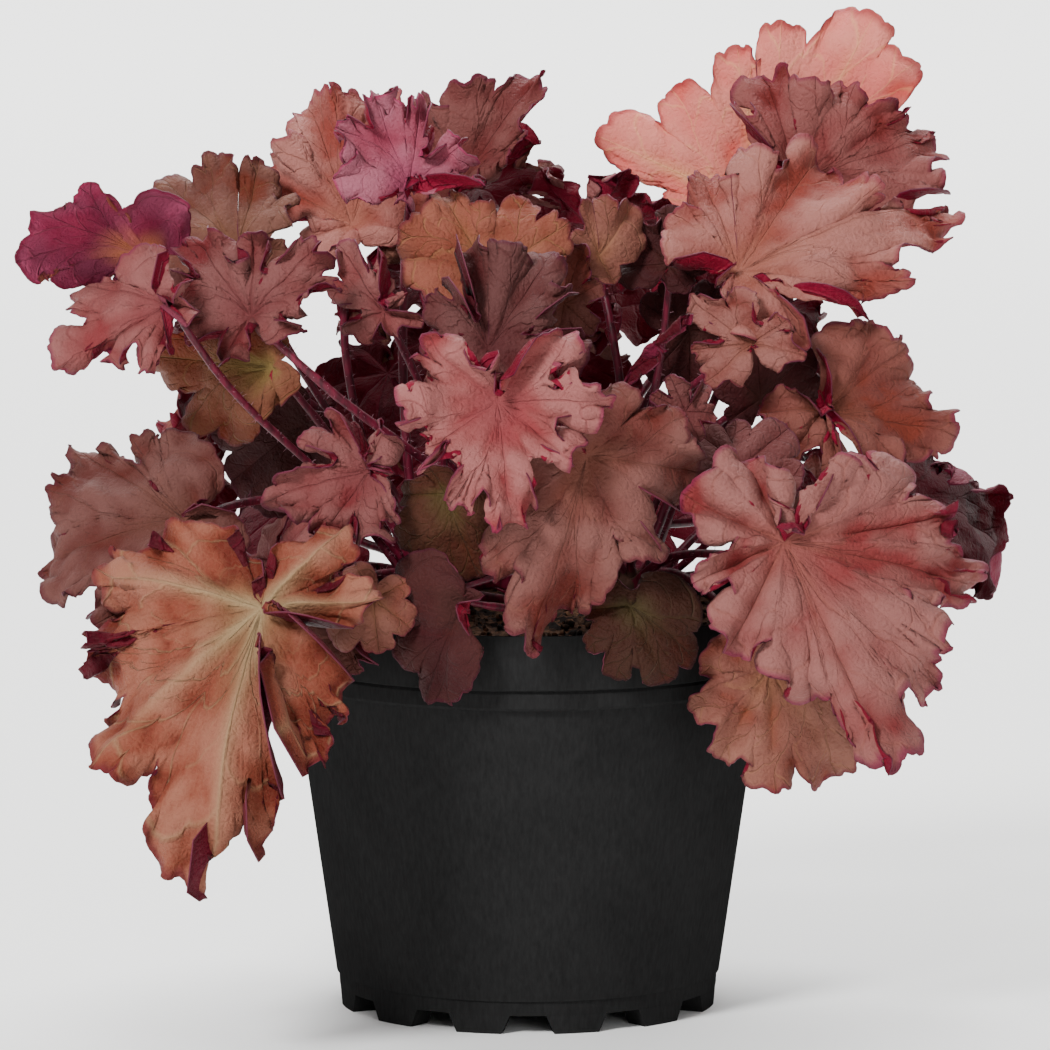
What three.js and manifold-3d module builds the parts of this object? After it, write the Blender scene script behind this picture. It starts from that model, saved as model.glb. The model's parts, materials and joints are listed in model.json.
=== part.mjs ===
// Coral-leaved heuchera in its black plastic nursery pot.
// Units are millimetres and +Z is up. The origin is on the pot's axis, on the surface that
// the pot stands on. The plant's showiest side faces -Y.
//
// The pieces are the pot, its potting mix, three woody crowns that each carry their
// petioles, and one blade for every leaf. A blade is a thin waved sheet whose outline is
// drawn lobe by lobe round the point where its petiole ends.
import * as THREE from "three";
import { mergeVertices } from "three/addons/utils/BufferGeometryUtils.js";
import Module from "manifold-3d";

const wasm = await Module();
wasm.setup();

// ---------------------------------------------------------------- driving dimensions
const GAP = 0.3;                    // clearance between pieces that touch

const RIM_RADIUS = 85;              // pot, outside, at the top of its collar
const POT_HEIGHT = 137.5;
const COLLAR_FOOT_RADIUS = 83.8;
const COLLAR_FOOT_Z = 119;
const BAND_RADIUS = 82.5;           // plain band below the collar
const BAND_FOOT_Z = 112;
const BODY_TOP_RADIUS = 79.9;       // body just under the band
const STEP_RADIUS = 65.4;           // small step above the feet
const STEP_Z = 11;
const STEP_DEPTH = 0.8;
const THICKENING_Z = BAND_FOOT_Z - 2;   // the wall thickens inside from here to the rim
const BASE_RADIUS = 64;
const WALL = 1.6;
const LIP = 2.2;                    // wall at the top of the collar
const FLOOR_Z = 9;                  // top of the pot's floor
const FLOOR_THICKNESS = 2;
const POT_SIDES = 48;
const SOIL_SIDES = 24;
const FOOT_COUNT = 12;
const FOOT_NOTCH_DEGREES = 13.5;
const FOOT_NOTCH_HEIGHT = 6.3;
const FOOT_DRAFT = 1.4;             // each side of a notch leans this much off square
const FOOT_RING_WIDTH = 9;          // the feet are this deep from front to back
const DRAIN_COUNT = 6;
const DRAIN_RADIUS = 5;
const DRAIN_CIRCLE = 38;
const DRAIN_SIDES = 10;

const SOIL_EDGE_Z = 131;            // potting mix where it meets the wall
const SOIL_MOUND = 4;               // its rise towards the middle
const SOIL_LUMP = 1.3;
const SOIL_RINGS = [68, 48, 26, 0]; // radii of the rings that carry its lumps
const SOIL_ROUNDING = 2;            // its edge against the wall starts this far down

const CROWN_RADIUS = 9;
const CROWN_TOP_Z = 150;
const CROWN_FOOT_Z = 104;
const CROWN_TAPER = 0.6;            // radius of its two ends against its middle
const CROWN_SIDES = 10;
const CROWN_HOLE_SIDES = 12;
const CROWNS = [
  { name: "crown_left", x: -30, y: -14 },
  { name: "crown_centre", x: 4, y: 14 },
  { name: "crown_right", x: 32, y: -16 },
];

const PETIOLE_RADIUS = 1.5;
const PETIOLE_SIDES = 3;
const PETIOLE_STEPS = 4;
const LARGE_PETIOLE = 1.1;          // radius under blades with more lobes than this
const LARGE_LOBES = 6;
const SMALL_PETIOLE = 0.85;
const START_SHARE = 0.55;           // petioles start this share of the radius off the crown's axis
const START_DROP = 3;               // and this far below its top
const START_FAN = 0.45;             // radians between neighbouring petioles on a crown
const START_FANS = 3;
const START_STEP = 3.2;             // and their steps in height
const START_STEPS = 4;
const RISE_SHARE = 0.3;             // shares of its span that a petiole first rises
const SPREAD_SHARE = 0.12;          // and first spreads
const ARRIVAL_SHARE = 0.24;         // and over which it nears its blade
const SIDE_CARRY = 0.7;             // how much of its bow is left near the blade, sideways
const LIFT_CARRY = 0.5;             // and upwards
const BOW_SIZES = [0, 8, 16, 26, 38, 52, 68];
const BOW_LEANS = [0.5, 0, 1.2, -0.6];
const BOW_TURNS = 12;
const CROWN_SHARE_X = 1.6;          // leaves are shared out among the crowns as if these
const CROWN_SHARE_Y = 1.2;          // stood further apart

const BLADE_THICKNESS = 0.7;
const SINUS_REACH = 5;              // blade left between the petiole and the open sinus
const WIDE_SPACE_DEGREES = 38;      // lobes this far apart are cut to their full depth
const LENGTH_WEIGHT = 2;            // how strongly the longer of two lobes takes their space
const LEAST_SHARE = 0.3;            // and what it leaves to the shorter one
const AIM_STEP = Math.PI / 180;     // a lobe is aimed at its place in turns this large
const AIM_STEPS = 40;
const MOST_STRETCH = 1.3;           // and made up to this much longer than on a flat blade
const MOST_SQUARE = 4.6;            // exponent of a lobe's outline where its notch is shallow
const LEAST_SQUARE = 1.7;           // and where the lobe is long and tapers
const TAPER = 12;
const SHALLOW = 0.26;               // a notch cut deeper than this starts to taper its lobe
const FADE_POWER = 6;               // how late in a lobe its teeth give way to the notch
const UNEVEN = 0.25;                // share of the ruffle that comes and goes round a blade
const BEND_STEPS = 12;              // steps of the bend that is summed along each radius
const SLOPE_LIMIT = 62;             // no blade leans further than this against its plane
const STEEPEST = 0.45;              // cosine that bounds the thickness of a steep stretch
const SETTLE_STEP = 2;              // a blade looks for its clear place in steps this long
const SETTLE_LIMIT = 36;
const ARRIVAL_CLEARANCE = 0.2;      // a petiole keeps this clear of its own blade all round
const PHASE_STEP = 2.4;             // radians between the ruffles of leaves made in turn
const BACK_SEED = 60;

const POT_COLOUR = 0x202021;
const SOIL_COLOUR = 0x2a1d16;
const PETIOLE_COLOUR = 0x5d2038;
const POT_ROUGHNESS = 0.5;
const SOIL_ROUGHNESS = 0.95;
const LEAF_ROUGHNESS = 0.5;

// How the blades of each habit are cut and waved. Angles are in degrees. cup is the slope
// at the petiole, droop the bend added out to the margin, tip more of it towards the tip,
// fold a saddle across the midrib, pleat the rise of each lobe above its notches, and
// ruffle the swing of the margin, with so many waves to a lobe.
const HABITS = {
  broad: {
    cup: 8, droop: -30, tip: -14, fold: 8,
    pleat: 3, ruffle: 50, waves: 0.5, notch: 0.66, tooth: 0.07,
  },
  ruffled: {
    cup: 12, droop: -14, tip: -16, fold: 8,
    pleat: 3, ruffle: 62, waves: 0.8, notch: 0.66, tooth: 0.1,
  },
  young: {
    cup: 20, droop: -16, tip: -10, fold: 10,
    pleat: 4, ruffle: 62, waves: 0.9, notch: 0.74, tooth: 0.1,
  },
  round: {
    cup: 4, droop: -26, tip: -8, fold: 6,
    pleat: 2, ruffle: 22, waves: 0.5, notch: 0.78, tooth: 0.04,
  },
  backlit: {
    cup: 2, droop: -14, tip: 0, fold: 4,
    pleat: 2, ruffle: 22, waves: 0.4, notch: 0.74, tooth: 0.03,
  },
  small: {
    cup: 10, droop: -22, tip: -10, fold: 8,
    pleat: 3, ruffle: 48, waves: 0.6, notch: 0.72, tooth: 0.06,
  },
  roll: {
    cup: 30, droop: 46, tip: 0, fold: 0,
    pleat: 3, ruffle: 12, waves: 0.5, notch: 0.85, tooth: 0.04,
  },
};

const BRONZE = 0x9a6861;
const ROSE = 0x90575a;
const UMBER = 0x754440;
const ORANGE = 0xb06a50;
const OLIVE = 0x6e4a38;
const DARK = 0x48302c;
const PALE = 0xdba59a;
const WINE = 0x7a3244;
const TAN = 0xab6d62;

// One row for each leaf that shows from the front: its name, its habit, its colour, where
// its petiole ends, the direction its upper face looks in (azimuth, with -90 to the front,
// and elevation), and its lobe tips in the front elevation, right of and above that point.
// A third number on a tip is how far out the notch after it lies, going from the lowest
// lobe to the right, as a share of the shorter lobe beside it: such a notch is cut deeper
// than the habit's own.
const FRONT_LEAVES = [
  ["leaf_bronze_hanging", "broad", BRONZE, [18, -86, 198], [-82, 8],
    [[-27, -15], [-34, -39, 0.78], [-18, -66], [-4, -55, 0.62], [23, -37, 0.8], [38, -8], [33, 12],
      [16, 21]]],
  ["leaf_rose_right", "broad", ROSE, [84, -100, 171], [-80, 24],
    [[9, -51], [37, -71], [50, -50], [55, -36, 0.62], [67, -20], [60, 7, 0.8], [42, 18], [22, 30],
      [-14, 30, 0.75], [-34, 16, 0.45], [-30, -14], [-18, -34, 0.75]]],
  ["leaf_orange_front", "broad", ORANGE, [-87, -112, 151], [-104, 26],
    [[-14, -94], [16, -51], [27, -37, 0.45], [40, 3], [29, 22], [-37, 23], [-53, 6], [-60, -13, 0.8],
      [-57, -27], [-56, -51, 0.8]]],
  ["leaf_rose_front", "ruffled", ROSE, [-10, -104, 218], [-90, 12],
    [[5, -43, 0.7], [27, -20], [39, 2, 0.75], [27, 20], [-26, 21, 0.75], [-34, 0, 0.8], [-32, -22, 0.7],
      [-13, -35]]],
  ["leaf_bronze_right", "broad", BRONZE, [71, -18, 252], [-84, 38],
    [[24, -25], [43, -17, 0.62], [60, -5], [75, 14, 0.85], [50, 29], [30, 36, 0.85], [9, 41],
      [-13, 33, 0.8], [-22, 20]]],
  ["leaf_pale_back", "backlit", PALE, [82, 58, 265], [-95, 4],
    [[-59, 26], [-33, 42], [-10, 58, 0.72], [5, 66, 0.88], [38, 69], [51, 54], [48, 30], [-36, 4]]],
  ["leaf_redbrown_top", "broad", UMBER, [92, 28, 277], [-80, 26],
    [[-25, 27], [-12, 39], [4, 38], [21, 31], [40, 25], [50, 14], [53, -5], [-14, 0]]],
  ["leaf_umber_right", "broad", UMBER, [99, -26, 205], [-74, 34],
    [[-22, 1], [-12, -15], [7, -21], [27, -21], [47, -9], [36, 5], [30, 21], [19, 26]]],
  ["leaf_tan_low", "round", TAN, [80, -76, 126], [-76, 8],
    [[-26, -16], [-17, -31], [2, -42], [24, -39], [47, -28], [46, -10], [-24, 1]]],
  ["leaf_bronze_left", "broad", BRONZE, [-114, -68, 175], [-112, 36],
    [[0, -30], [20, -10], [-6, 25], [-19, 26, 0.7], [-39, 17], [-49, 7, 0.8], [-50, -24], [-29, -35]]],
  ["leaf_rose_left", "ruffled", ROSE, [-52, -86, 193], [-100, 18],
    [[-24, 10], [-10, 24], [6, 18], [11, 1], [10, -17], [-1, -25], [-18, -24], [-33, -12]]],
  ["leaf_olive_left", "round", OLIVE, [-85, -48, 223], [-112, 6],
    [[3, -13], [-14, 13], [-34, 14], [-46, 1, 0.72], [-30, -20], [-15, -27]]],
  ["leaf_rose_shoulder", "ruffled", ROSE, [-92, -50, 240], [-106, 28],
    [[-34, 12], [-28, -4], [-12, -16], [18, -4], [30, 12], [22, 27], [1, 30], [-21, 26]]],
  ["leaf_copper_left", "broad", ROSE, [-118, -70, 246], [-122, 34],
    [[-19, 11], [-33, 0], [-41, -24], [-22, -19], [-7, -22], [-1, -15]]],
  ["leaf_rose_upper", "broad", ROSE, [-13, -66, 231], [-90, 30],
    [[-22, 3], [-20, 19], [-9, 32], [7, 36], [22, 30], [30, 17], [34, 1]]],
  ["leaf_rose_high", "broad", BRONZE, [-60, 20, 264], [-98, 32],
    [[-34, 15], [-27, 29], [-15, 39], [-7, 48], [14, 46], [20, 22], [-18, -6]]],
  ["leaf_tan_left", "broad", TAN, [-98, 4, 257], [-102, 42],
    [[-30, 5], [-28, 22], [-12, 30], [7, 30], [19, 18], [17, 0]]],
  ["leaf_young_top", "young", TAN, [-40, -18, 280], [-90, 34],
    [[-25, 5], [-24, 21], [-13, 33], [5, 32], [19, 18], [25, 3], [-3, -7]]],
  ["leaf_orange_top", "broad", ORANGE, [-13, -44, 259], [-90, 32],
    [[-31, 15], [-17, 26], [-3, 25], [13, 24], [27, 17], [24, -1], [-28, 3]]],
  ["leaf_back_top", "broad", BRONZE, [-25, 28, 275], [-96, 18],
    [[-14, 32], [8, 41], [30, 41], [26, 20], [9, 3], [-19, 10]]],
  ["leaf_wine_left", "round", WINE, [-120, -34, 250], [118, 26],
    [[-42, 3], [-36, 19], [-21, 26], [-8, 20], [-31, -5], [-11, -10]]],
  ["leaf_wine_far", "broad", WINE, [130, 80, 165], [34, 24],
    [[28, 8], [40, -20], [14, -23], [-6, -17], [11, 18]]],
  ["leaf_under_bronze", "ruffled", BRONZE, [75, -34, 229], [-104, 22],
    [[-21, 15], [-6, 18], [13, 9], [18, -2], [-21, -2], [-16, -12]]],
  ["leaf_olive_front", "round", OLIVE, [-27, -84, 185], [-100, 4],
    [[-16, -1], [-14, -19], [-2, -30], [11, -29], [14, -15], [-6, 9]]],
  ["leaf_olive_rim", "round", OLIVE, [34, -94, 150], [-86, 20],
    [[-16, -2], [-14, -15], [-5, -24], [12, -26], [23, -18], [23, -6]]],
  ["leaf_folded_low", "round", DARK, [-20, -92, 151], [-112, -4],
    [[-23, -7], [-18, -23], [-13, -35], [-5, -35], [6, -7]]],
  ["leaf_pink_shoulder", "round", ROSE, [71, -68, 191], [-92, 38],
    [[-24, -3], [-17, 11], [-2, 15], [16, 12], [21, -3], [-22, -12]]],
  ["leaf_dark_small", "small", DARK, [47, -6, 254], [-112, 22],
    [[-19, 16], [0, 18], [17, 9], [-18, -3], [7, -9]]],
  ["leaf_curl_small", "small", TAN, [23, -8, 256], [-70, 12],
    [[-8, 9], [-5, 20], [3, 21], [12, 17], [6, -9]]],
  ["leaf_rose_small", "ruffled", ROSE, [52, -74, 211], [-76, 26],
    [[-11, 7], [-5, 13], [7, 9], [11, -1], [5, -9]]],
  ["leaf_tan_rim", "round", TAN, [-51, -90, 151], [-100, 14],
    [[-16, -1], [-14, -15], [2, -18], [13, -10], [12, 6], [-7, 12]]],
  ["leaf_red_rim", "small", UMBER, [-63, -87, 137], [-108, 2],
    [[-16, -2], [-9, -10], [5, -12], [16, -5]]],
  ["leaf_wine_curl", "roll", WINE, [30, -62, 214], [-28, 6],
    [[-21, 34], [-15, 36], [-5, 24], [4, 5], [-19, 14], [-9, -1]]],
  ["leaf_curled_centre", "ruffled", ROSE, [-46, -30, 238], [-112, 20],
    [[-17, 6], [-14, 21], [3, 25, 0.7], [15, 13], [13, -1], [-15, -6]]],
  ["leaf_shade_centre", "ruffled", UMBER, [13, -28, 243], [-84, 10],
    [[-12, 7], [-6, 19], [7, 21], [13, 7], [10, -10], [-2, -12]]],
  ["leaf_shade_left", "round", DARK, [-75, -24, 201], [-108, 0],
    [[-31, -5], [-26, -22], [-14, -32], [2, -29], [11, -5], [-18, 11]]],
  ["leaf_umber_behind", "round", DARK, [55, 10, 229], [-80, 8],
    [[-17, 10], [-7, 18], [10, 15], [17, 0], [14, -20], [0, -27], [-14, -17]]],
  ["leaf_umber_low", "round", DARK, [79, 6, 206], [-84, 4],
    [[-15, 14], [-1, 21], [18, 17], [24, 0], [14, -14], [-11, -8]]],
];

// Leaves that complete the sides and the back, in tiers from the rim upwards: height,
// distance from the axis, elevation of the upper face, reach of the longest lobe, how many,
// and the azimuths of the first and the last.
const BACK_TIERS = [
  { z: 168, radius: 113, elevation: 32, reach: 49, count: 8, from: -18, to: 198, habits: ["broad", "round"] },
  { z: 214, radius: 92, elevation: 34, reach: 47, count: 5, from: 22, to: 160, habits: ["ruffled", "broad"] },
  { z: 258, radius: 60, elevation: 44, reach: 38, count: 3, from: 70, to: 140, habits: ["ruffled", "young"] },
];
const BACK_TONES = [BRONZE, ROSE, UMBER, TAN, BRONZE, OLIVE];
const LOBE_PITCH_DEGREES = 47;
const LOBE_SHRINK = [1, 0.94, 0.84, 0.7];      // lobe lengths from the tip to the base

// ---------------------------------------------------------------- small tools
const radians = THREE.MathUtils.degToRad;

function randomFrom(seed) {
  let state = seed;
  return () => {
    state = (state * 1664525 + 1013904223) % 4294967296;
    return state / 4294967296;
  };
}

function direction(azimuth, elevation) {
  const flat = Math.cos(radians(elevation));
  return new THREE.Vector3(
    flat * Math.cos(radians(azimuth)),
    flat * Math.sin(radians(azimuth)),
    Math.sin(radians(elevation)),
  );
}

function solidOf(geometry) {
  const bare = geometry.clone();
  bare.deleteAttribute("normal");
  bare.deleteAttribute("uv");
  const merged = mergeVertices(bare, 1e-4);
  const mesh = new wasm.Mesh({
    numProp: 3,
    vertProperties: new Float32Array(merged.attributes.position.array),
    triVerts: new Uint32Array(merged.index.array),
  });
  return new wasm.Manifold(mesh);
}

function geometryOf(solid) {
  const mesh = solid.getMesh();
  const geometry = new THREE.BufferGeometry();
  geometry.setAttribute("position", new THREE.BufferAttribute(new Float32Array(mesh.vertProperties), 3));
  geometry.setIndex(new THREE.BufferAttribute(new Uint32Array(mesh.triVerts), 1));
  geometry.computeVertexNormals();
  return geometry;
}

const group = new THREE.Group();

function addMesh(name, geometry, color, roughness) {
  const material = new THREE.MeshStandardMaterial({ color, roughness, metalness: 0 });
  const mesh = new THREE.Mesh(geometry, material);
  mesh.name = name;
  group.add(mesh);
}

// A profile of [radius, height] points turned about +Z.
function turned(points, sides) {
  const profile = points.map(([radius, height]) => new THREE.Vector2(radius, height));
  const geometry = new THREE.LatheGeometry(profile, sides);
  geometry.rotateX(Math.PI / 2);
  return geometry;
}

function upright(radius, bottom, top, sides, x, y) {
  const geometry = new THREE.CylinderGeometry(radius, radius, top - bottom, sides);
  geometry.rotateX(Math.PI / 2);
  geometry.translate(x, y, (bottom + top) / 2);
  return geometry;
}

// ---------------------------------------------------------------- pot
function wallInside(height) {
  const slope = (BODY_TOP_RADIUS - STEP_RADIUS) / (BAND_FOOT_Z - STEP_Z);
  const inside = STEP_RADIUS - WALL + slope * (Math.min(height, THICKENING_Z) - STEP_Z);
  const share = Math.max(0, height - THICKENING_Z) / (POT_HEIGHT - THICKENING_Z);
  return inside + share * (RIM_RADIUS - LIP - inside);
}

// The profile runs up the outside, over the rim and down the inside to the floor, then back
// under the floor to the inner edge of the feet.
function potProfile() {
  const feetInside = BASE_RADIUS - FOOT_RING_WIDTH;
  return [
    [BASE_RADIUS, 0],
    [STEP_RADIUS - STEP_DEPTH, STEP_Z],
    [STEP_RADIUS, STEP_Z],
    [BODY_TOP_RADIUS, BAND_FOOT_Z],
    [BAND_RADIUS, BAND_FOOT_Z],
    [BAND_RADIUS, COLLAR_FOOT_Z],
    [COLLAR_FOOT_RADIUS, COLLAR_FOOT_Z],
    [RIM_RADIUS, POT_HEIGHT],
    [RIM_RADIUS - LIP, POT_HEIGHT],
    [wallInside(THICKENING_Z), THICKENING_Z],
    [wallInside(FLOOR_Z), FLOOR_Z],
    [0, FLOOR_Z],
    [0, FLOOR_Z - FLOOR_THICKNESS],
    [feetInside, FLOOR_Z - FLOOR_THICKNESS],
    [feetInside, 0],
    [BASE_RADIUS, 0],
  ];
}

// A wedge that cuts one gap between two feet, open below and outwards.
function footNotch(azimuth) {
  const outer = BASE_RADIUS + FOOT_RING_WIDTH;
  const inner = BASE_RADIUS - FOOT_RING_WIDTH - 1;
  const halfWidth = BASE_RADIUS * Math.tan(radians(FOOT_NOTCH_DEGREES / 2));
  const shape = new THREE.Shape();
  shape.moveTo(-halfWidth - FOOT_DRAFT, -1);
  shape.lineTo(halfWidth + FOOT_DRAFT, -1);
  shape.lineTo(halfWidth - FOOT_DRAFT, FOOT_NOTCH_HEIGHT);
  shape.lineTo(-halfWidth + FOOT_DRAFT, FOOT_NOTCH_HEIGHT);
  const geometry = new THREE.ExtrudeGeometry(shape, { depth: outer - inner, bevelEnabled: false });
  geometry.rotateX(Math.PI / 2);
  geometry.translate(0, outer, 0);
  geometry.rotateZ(radians(azimuth - 90));
  return geometry;
}

function makePot() {
  let pot = solidOf(turned(potProfile(), POT_SIDES));
  for (let index = 0; index < FOOT_COUNT; index += 1) {
    const azimuth = -90 + (index * 360) / FOOT_COUNT;
    pot = pot.subtract(solidOf(footNotch(azimuth)));
  }
  for (let index = 0; index < DRAIN_COUNT; index += 1) {
    const azimuth = radians((index * 360) / DRAIN_COUNT);
    const x = DRAIN_CIRCLE * Math.cos(azimuth);
    const y = DRAIN_CIRCLE * Math.sin(azimuth);
    pot = pot.subtract(solidOf(upright(DRAIN_RADIUS, 0, FLOOR_Z + 1, DRAIN_SIDES, x, y)));
  }
  return pot;
}

// ---------------------------------------------------------------- potting mix
function soilTopZ(radius, azimuth) {
  const across = radius / wallInside(SOIL_EDGE_Z);
  const mound = SOIL_MOUND * (1 - across * across);
  const lump = Math.sin(azimuth * 5 + radius * 0.21) + Math.sin(azimuth * 9 - radius * 0.34 + 1.7);
  return SOIL_EDGE_Z + mound + (SOIL_LUMP * lump) / 2;
}

// The body of the mix, turned, then its top points lifted into a lumpy mound.
function makeSoil() {
  const foot = FLOOR_Z + GAP;
  const edge = SOIL_EDGE_Z - SOIL_ROUNDING;
  const clear = 1.5 * GAP;
  const sides = [foot, THICKENING_Z, edge].map((height) => [wallInside(height) - clear, height]);
  const top = SOIL_RINGS.map((radius) => [radius, SOIL_EDGE_Z]);
  const geometry = turned([[0, foot], ...sides, ...top], SOIL_SIDES);
  const position = geometry.attributes.position;
  for (let index = 0; index < position.count; index += 1) {
    if (position.getZ(index) < SOIL_EDGE_Z - 1) {
      continue;
    }
    const x = position.getX(index);
    const y = position.getY(index);
    const radius = Math.hypot(x, y);
    const azimuth = radius > 1 ? Math.atan2(y, x) : 0;
    position.setZ(index, soilTopZ(radius, azimuth));
  }
  let soil = solidOf(geometry);
  for (const { x, y } of CROWNS) {
    const bottom = CROWN_FOOT_Z - GAP;
    const hole = upright(CROWN_RADIUS + GAP, bottom, CROWN_TOP_Z, CROWN_HOLE_SIDES, x, y);
    soil = soil.subtract(solidOf(hole));
  }
  return soil;
}

// ---------------------------------------------------------------- leaf frames and outlines
// A leaf frame holds the end of the petiole, the normal of the upper face, and two axes in
// the blade: down its slope, and to the right of that as the upper face is looked at.
function leafFrame(at, azimuth, elevation) {
  const normal = direction(azimuth, elevation);
  const down = new THREE.Vector3(0, 0, -1);
  down.addScaledVector(normal, -down.dot(normal)).normalize();
  const right = new THREE.Vector3().crossVectors(normal, down);
  return { at: new THREE.Vector3(...at), normal, down, right };
}

// Tip of a radius of unit length, once the blade is bent.
function bentTip(frame, habit, share, angle, wave) {
  const bend = bendAlong(habit, share, angle, wave);
  return new THREE.Vector3()
    .addScaledVector(frame.down, bend.along * Math.cos(angle))
    .addScaledVector(frame.right, bend.along * Math.sin(angle))
    .addScaledVector(frame.normal, bend.above);
}

// The angle and length of a lobe on the flat blade whose tip is at x and z in the front
// elevation.
function flatLobe(frame, [x, z, cut]) {
  const y = -(x * frame.normal.x + z * frame.normal.z) / frame.normal.y;
  const tip = new THREE.Vector3(x, y, z);
  return { x, z, cut, angle: Math.atan2(tip.dot(frame.right), tip.dot(frame.down)), length: tip.length() };
}

// Finds the lobes whose tips are at the given places in the front elevation once the blade
// is bent, by turning each one in small steps until it points at its place.
function lobesFromFront(frame, tips, habit) {
  const flat = tips.map((tip) => flatLobe(frame, tip)).sort((one, two) => one.angle - two.angle);
  return flat.map(({ x, z, cut, angle, length }, index) => {
    const target = Math.hypot(x, z);
    let best = { miss: Infinity, cut };
    for (let step = -AIM_STEPS; step <= AIM_STEPS; step += 1) {
      const turned = angle + step * AIM_STEP;
      const tip = bentTip(frame, habit, 1, turned, index);
      const seen = Math.hypot(tip.x, tip.z);
      const miss = 1 - (tip.x * x + tip.z * z) / (seen * target);
      if (miss < best.miss) {
        best = { miss, cut, angle: turned, length: Math.min(target / seen, length * MOST_STRETCH) };
      }
    }
    return best;
  }).sort((one, two) => one.angle - two.angle);
}

function lobesByRule(reach, turn, random) {
  const lobes = [];
  for (let side = -3; side <= 3; side += 1) {
    const wander = (random() - 0.5) * 10;
    const angle = radians(side * LOBE_PITCH_DEGREES + turn + wander);
    const length = reach * LOBE_SHRINK[Math.abs(side)] * (0.92 + 0.16 * random());
    lobes.push({ angle: Math.atan2(Math.sin(angle), Math.cos(angle)), length });
  }
  return lobes.sort((one, two) => one.angle - two.angle);
}

// Adds to each lobe the notches on both its sides. The widest space between two lobes is
// the open sinus behind the petiole.
function withNotches(lobes, notchRatio) {
  const count = lobes.length;
  const spaces = lobes.map((lobe, index) => {
    const next = lobes[(index + 1) % count];
    const wrap = index === count - 1 ? 2 * Math.PI : 0;
    return next.angle + wrap - lobe.angle;
  });
  const sinus = spaces.indexOf(Math.max(...spaces));
  const notches = lobes.map((lobe, index) => {
    const next = lobes[(index + 1) % count];
    const closest = Math.min(lobe.length, next.length);
    const apart = Math.min(1, spaces[index] / radians(WIDE_SPACE_DEGREES)) ** 2;
    const ratio = lobe.cut ?? 1 - (1 - notchRatio) * apart;
    const reach = index === sinus ? SINUS_REACH : closest * ratio;
    const longer = index === sinus ? 1 : (lobe.length / next.length) ** LENGTH_WEIGHT;
    const share = THREE.MathUtils.clamp(longer / (1 + longer), LEAST_SHARE, 1 - LEAST_SHARE);
    return { angle: lobe.angle + spaces[index] * share, reach, span: (lobe.length + next.length) / 2 };
  });
  return lobes.map((lobe, index) => {
    const before = notches[(index + count - 1) % count];
    const wrap = index === 0 ? 2 * Math.PI : 0;
    return { ...lobe, before: { ...before, angle: before.angle - wrap }, after: notches[index] };
  });
}

// Reach of the outline in one lobe, at a place from -1 (notch before) to 1 (notch after).
function outlineReach(lobe, place, tooth) {
  const notch = place < 0 ? lobe.before : lobe.after;
  const depth = 1 - notch.reach / lobe.length;
  const squareness = Math.max(LEAST_SQUARE, MOST_SQUARE - TAPER * Math.max(0, depth - SHALLOW));
  const shoulder = Math.pow(Math.abs(place), squareness);
  const smooth = lobe.length + (notch.reach - lobe.length) * shoulder;
  const dip = 1 - Math.sqrt(Math.abs(Math.cos(1.5 * Math.PI * place)));
  const fade = 1 - Math.pow(Math.abs(place), FADE_POWER);
  return smooth * (1 - tooth * dip * fade);
}

// Reach that the blade's surface is bent by, which passes over the notches from tip to tip.
function surfaceReach(lobe, place) {
  const notch = place < 0 ? lobe.before : lobe.after;
  return THREE.MathUtils.lerp(lobe.length, notch.span, THREE.MathUtils.smoothstep(Math.abs(place), 0, 1));
}

function outlineAngle(lobe, place) {
  const notch = place < 0 ? lobe.before : lobe.after;
  return lobe.angle + Math.abs(place) * (notch.angle - lobe.angle);
}

// ---------------------------------------------------------------- waved blades
// Slope of the blade against its plane at a share of the reach, from 0 at the petiole to 1
// at the margin.
function slopeAt(habit, share, angle, wave) {
  const outwards = habit.droop + habit.tip * Math.cos(angle) + habit.fold * Math.cos(2 * angle);
  const steady = habit.cup + share * outwards;
  const pleats = share * habit.pleat * Math.cos(2 * Math.PI * wave);
  const uneven = 1 - UNEVEN + UNEVEN * Math.sin(2 * angle + 3 * habit.phase);
  const swing = Math.sin(2 * Math.PI * habit.waves * wave + habit.phase);
  const ruffles = share ** 3 * habit.ruffle * uneven * swing;
  return radians(THREE.MathUtils.clamp(steady + pleats + ruffles, -SLOPE_LIMIT, SLOPE_LIMIT));
}

// How far a radius of unit length gets along the blade's plane and above it.
function bendAlong(habit, share, angle, wave) {
  let along = 0;
  let above = 0;
  for (let step = 0; step < BEND_STEPS; step += 1) {
    const slope = slopeAt(habit, (share * (step + 0.5)) / BEND_STEPS, angle, wave);
    along += (Math.cos(slope) * share) / BEND_STEPS;
    above += (Math.sin(slope) * share) / BEND_STEPS;
  }
  return { along, above };
}

function bladePoint(leaf, lobe, lobeIndex, place, share) {
  const angle = outlineAngle(lobe, place);
  const span = surfaceReach(lobe, place);
  const cut = (share * outlineReach(lobe, place, leaf.habit.tooth)) / span;
  const tip = bentTip(leaf.frame, leaf.habit, cut, angle, lobeIndex + place / 2);
  return tip.multiplyScalar(span).add(leaf.frame.at);
}

// Rings of points round the petiole, by the length of the longest lobe. Each ring is at one
// share of the reach and takes the same places in every lobe.
const PLACES_FINE = [-1, -0.74, -0.36, 0, 0.36, 0.74];
const PLACES_PLAIN = [-1, -0.6, 0, 0.6];
const PLACES_INNER = [-1, 0];
const RING_SETS = [
  { over: 62, rings: [[0.5, PLACES_INNER], [0.8, PLACES_FINE], [1, PLACES_FINE]] },
  { over: 26, rings: [[0.64, PLACES_INNER], [1, PLACES_FINE]] },
  { over: 0, rings: [[0.64, PLACES_INNER], [1, PLACES_PLAIN]] },
];

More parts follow.
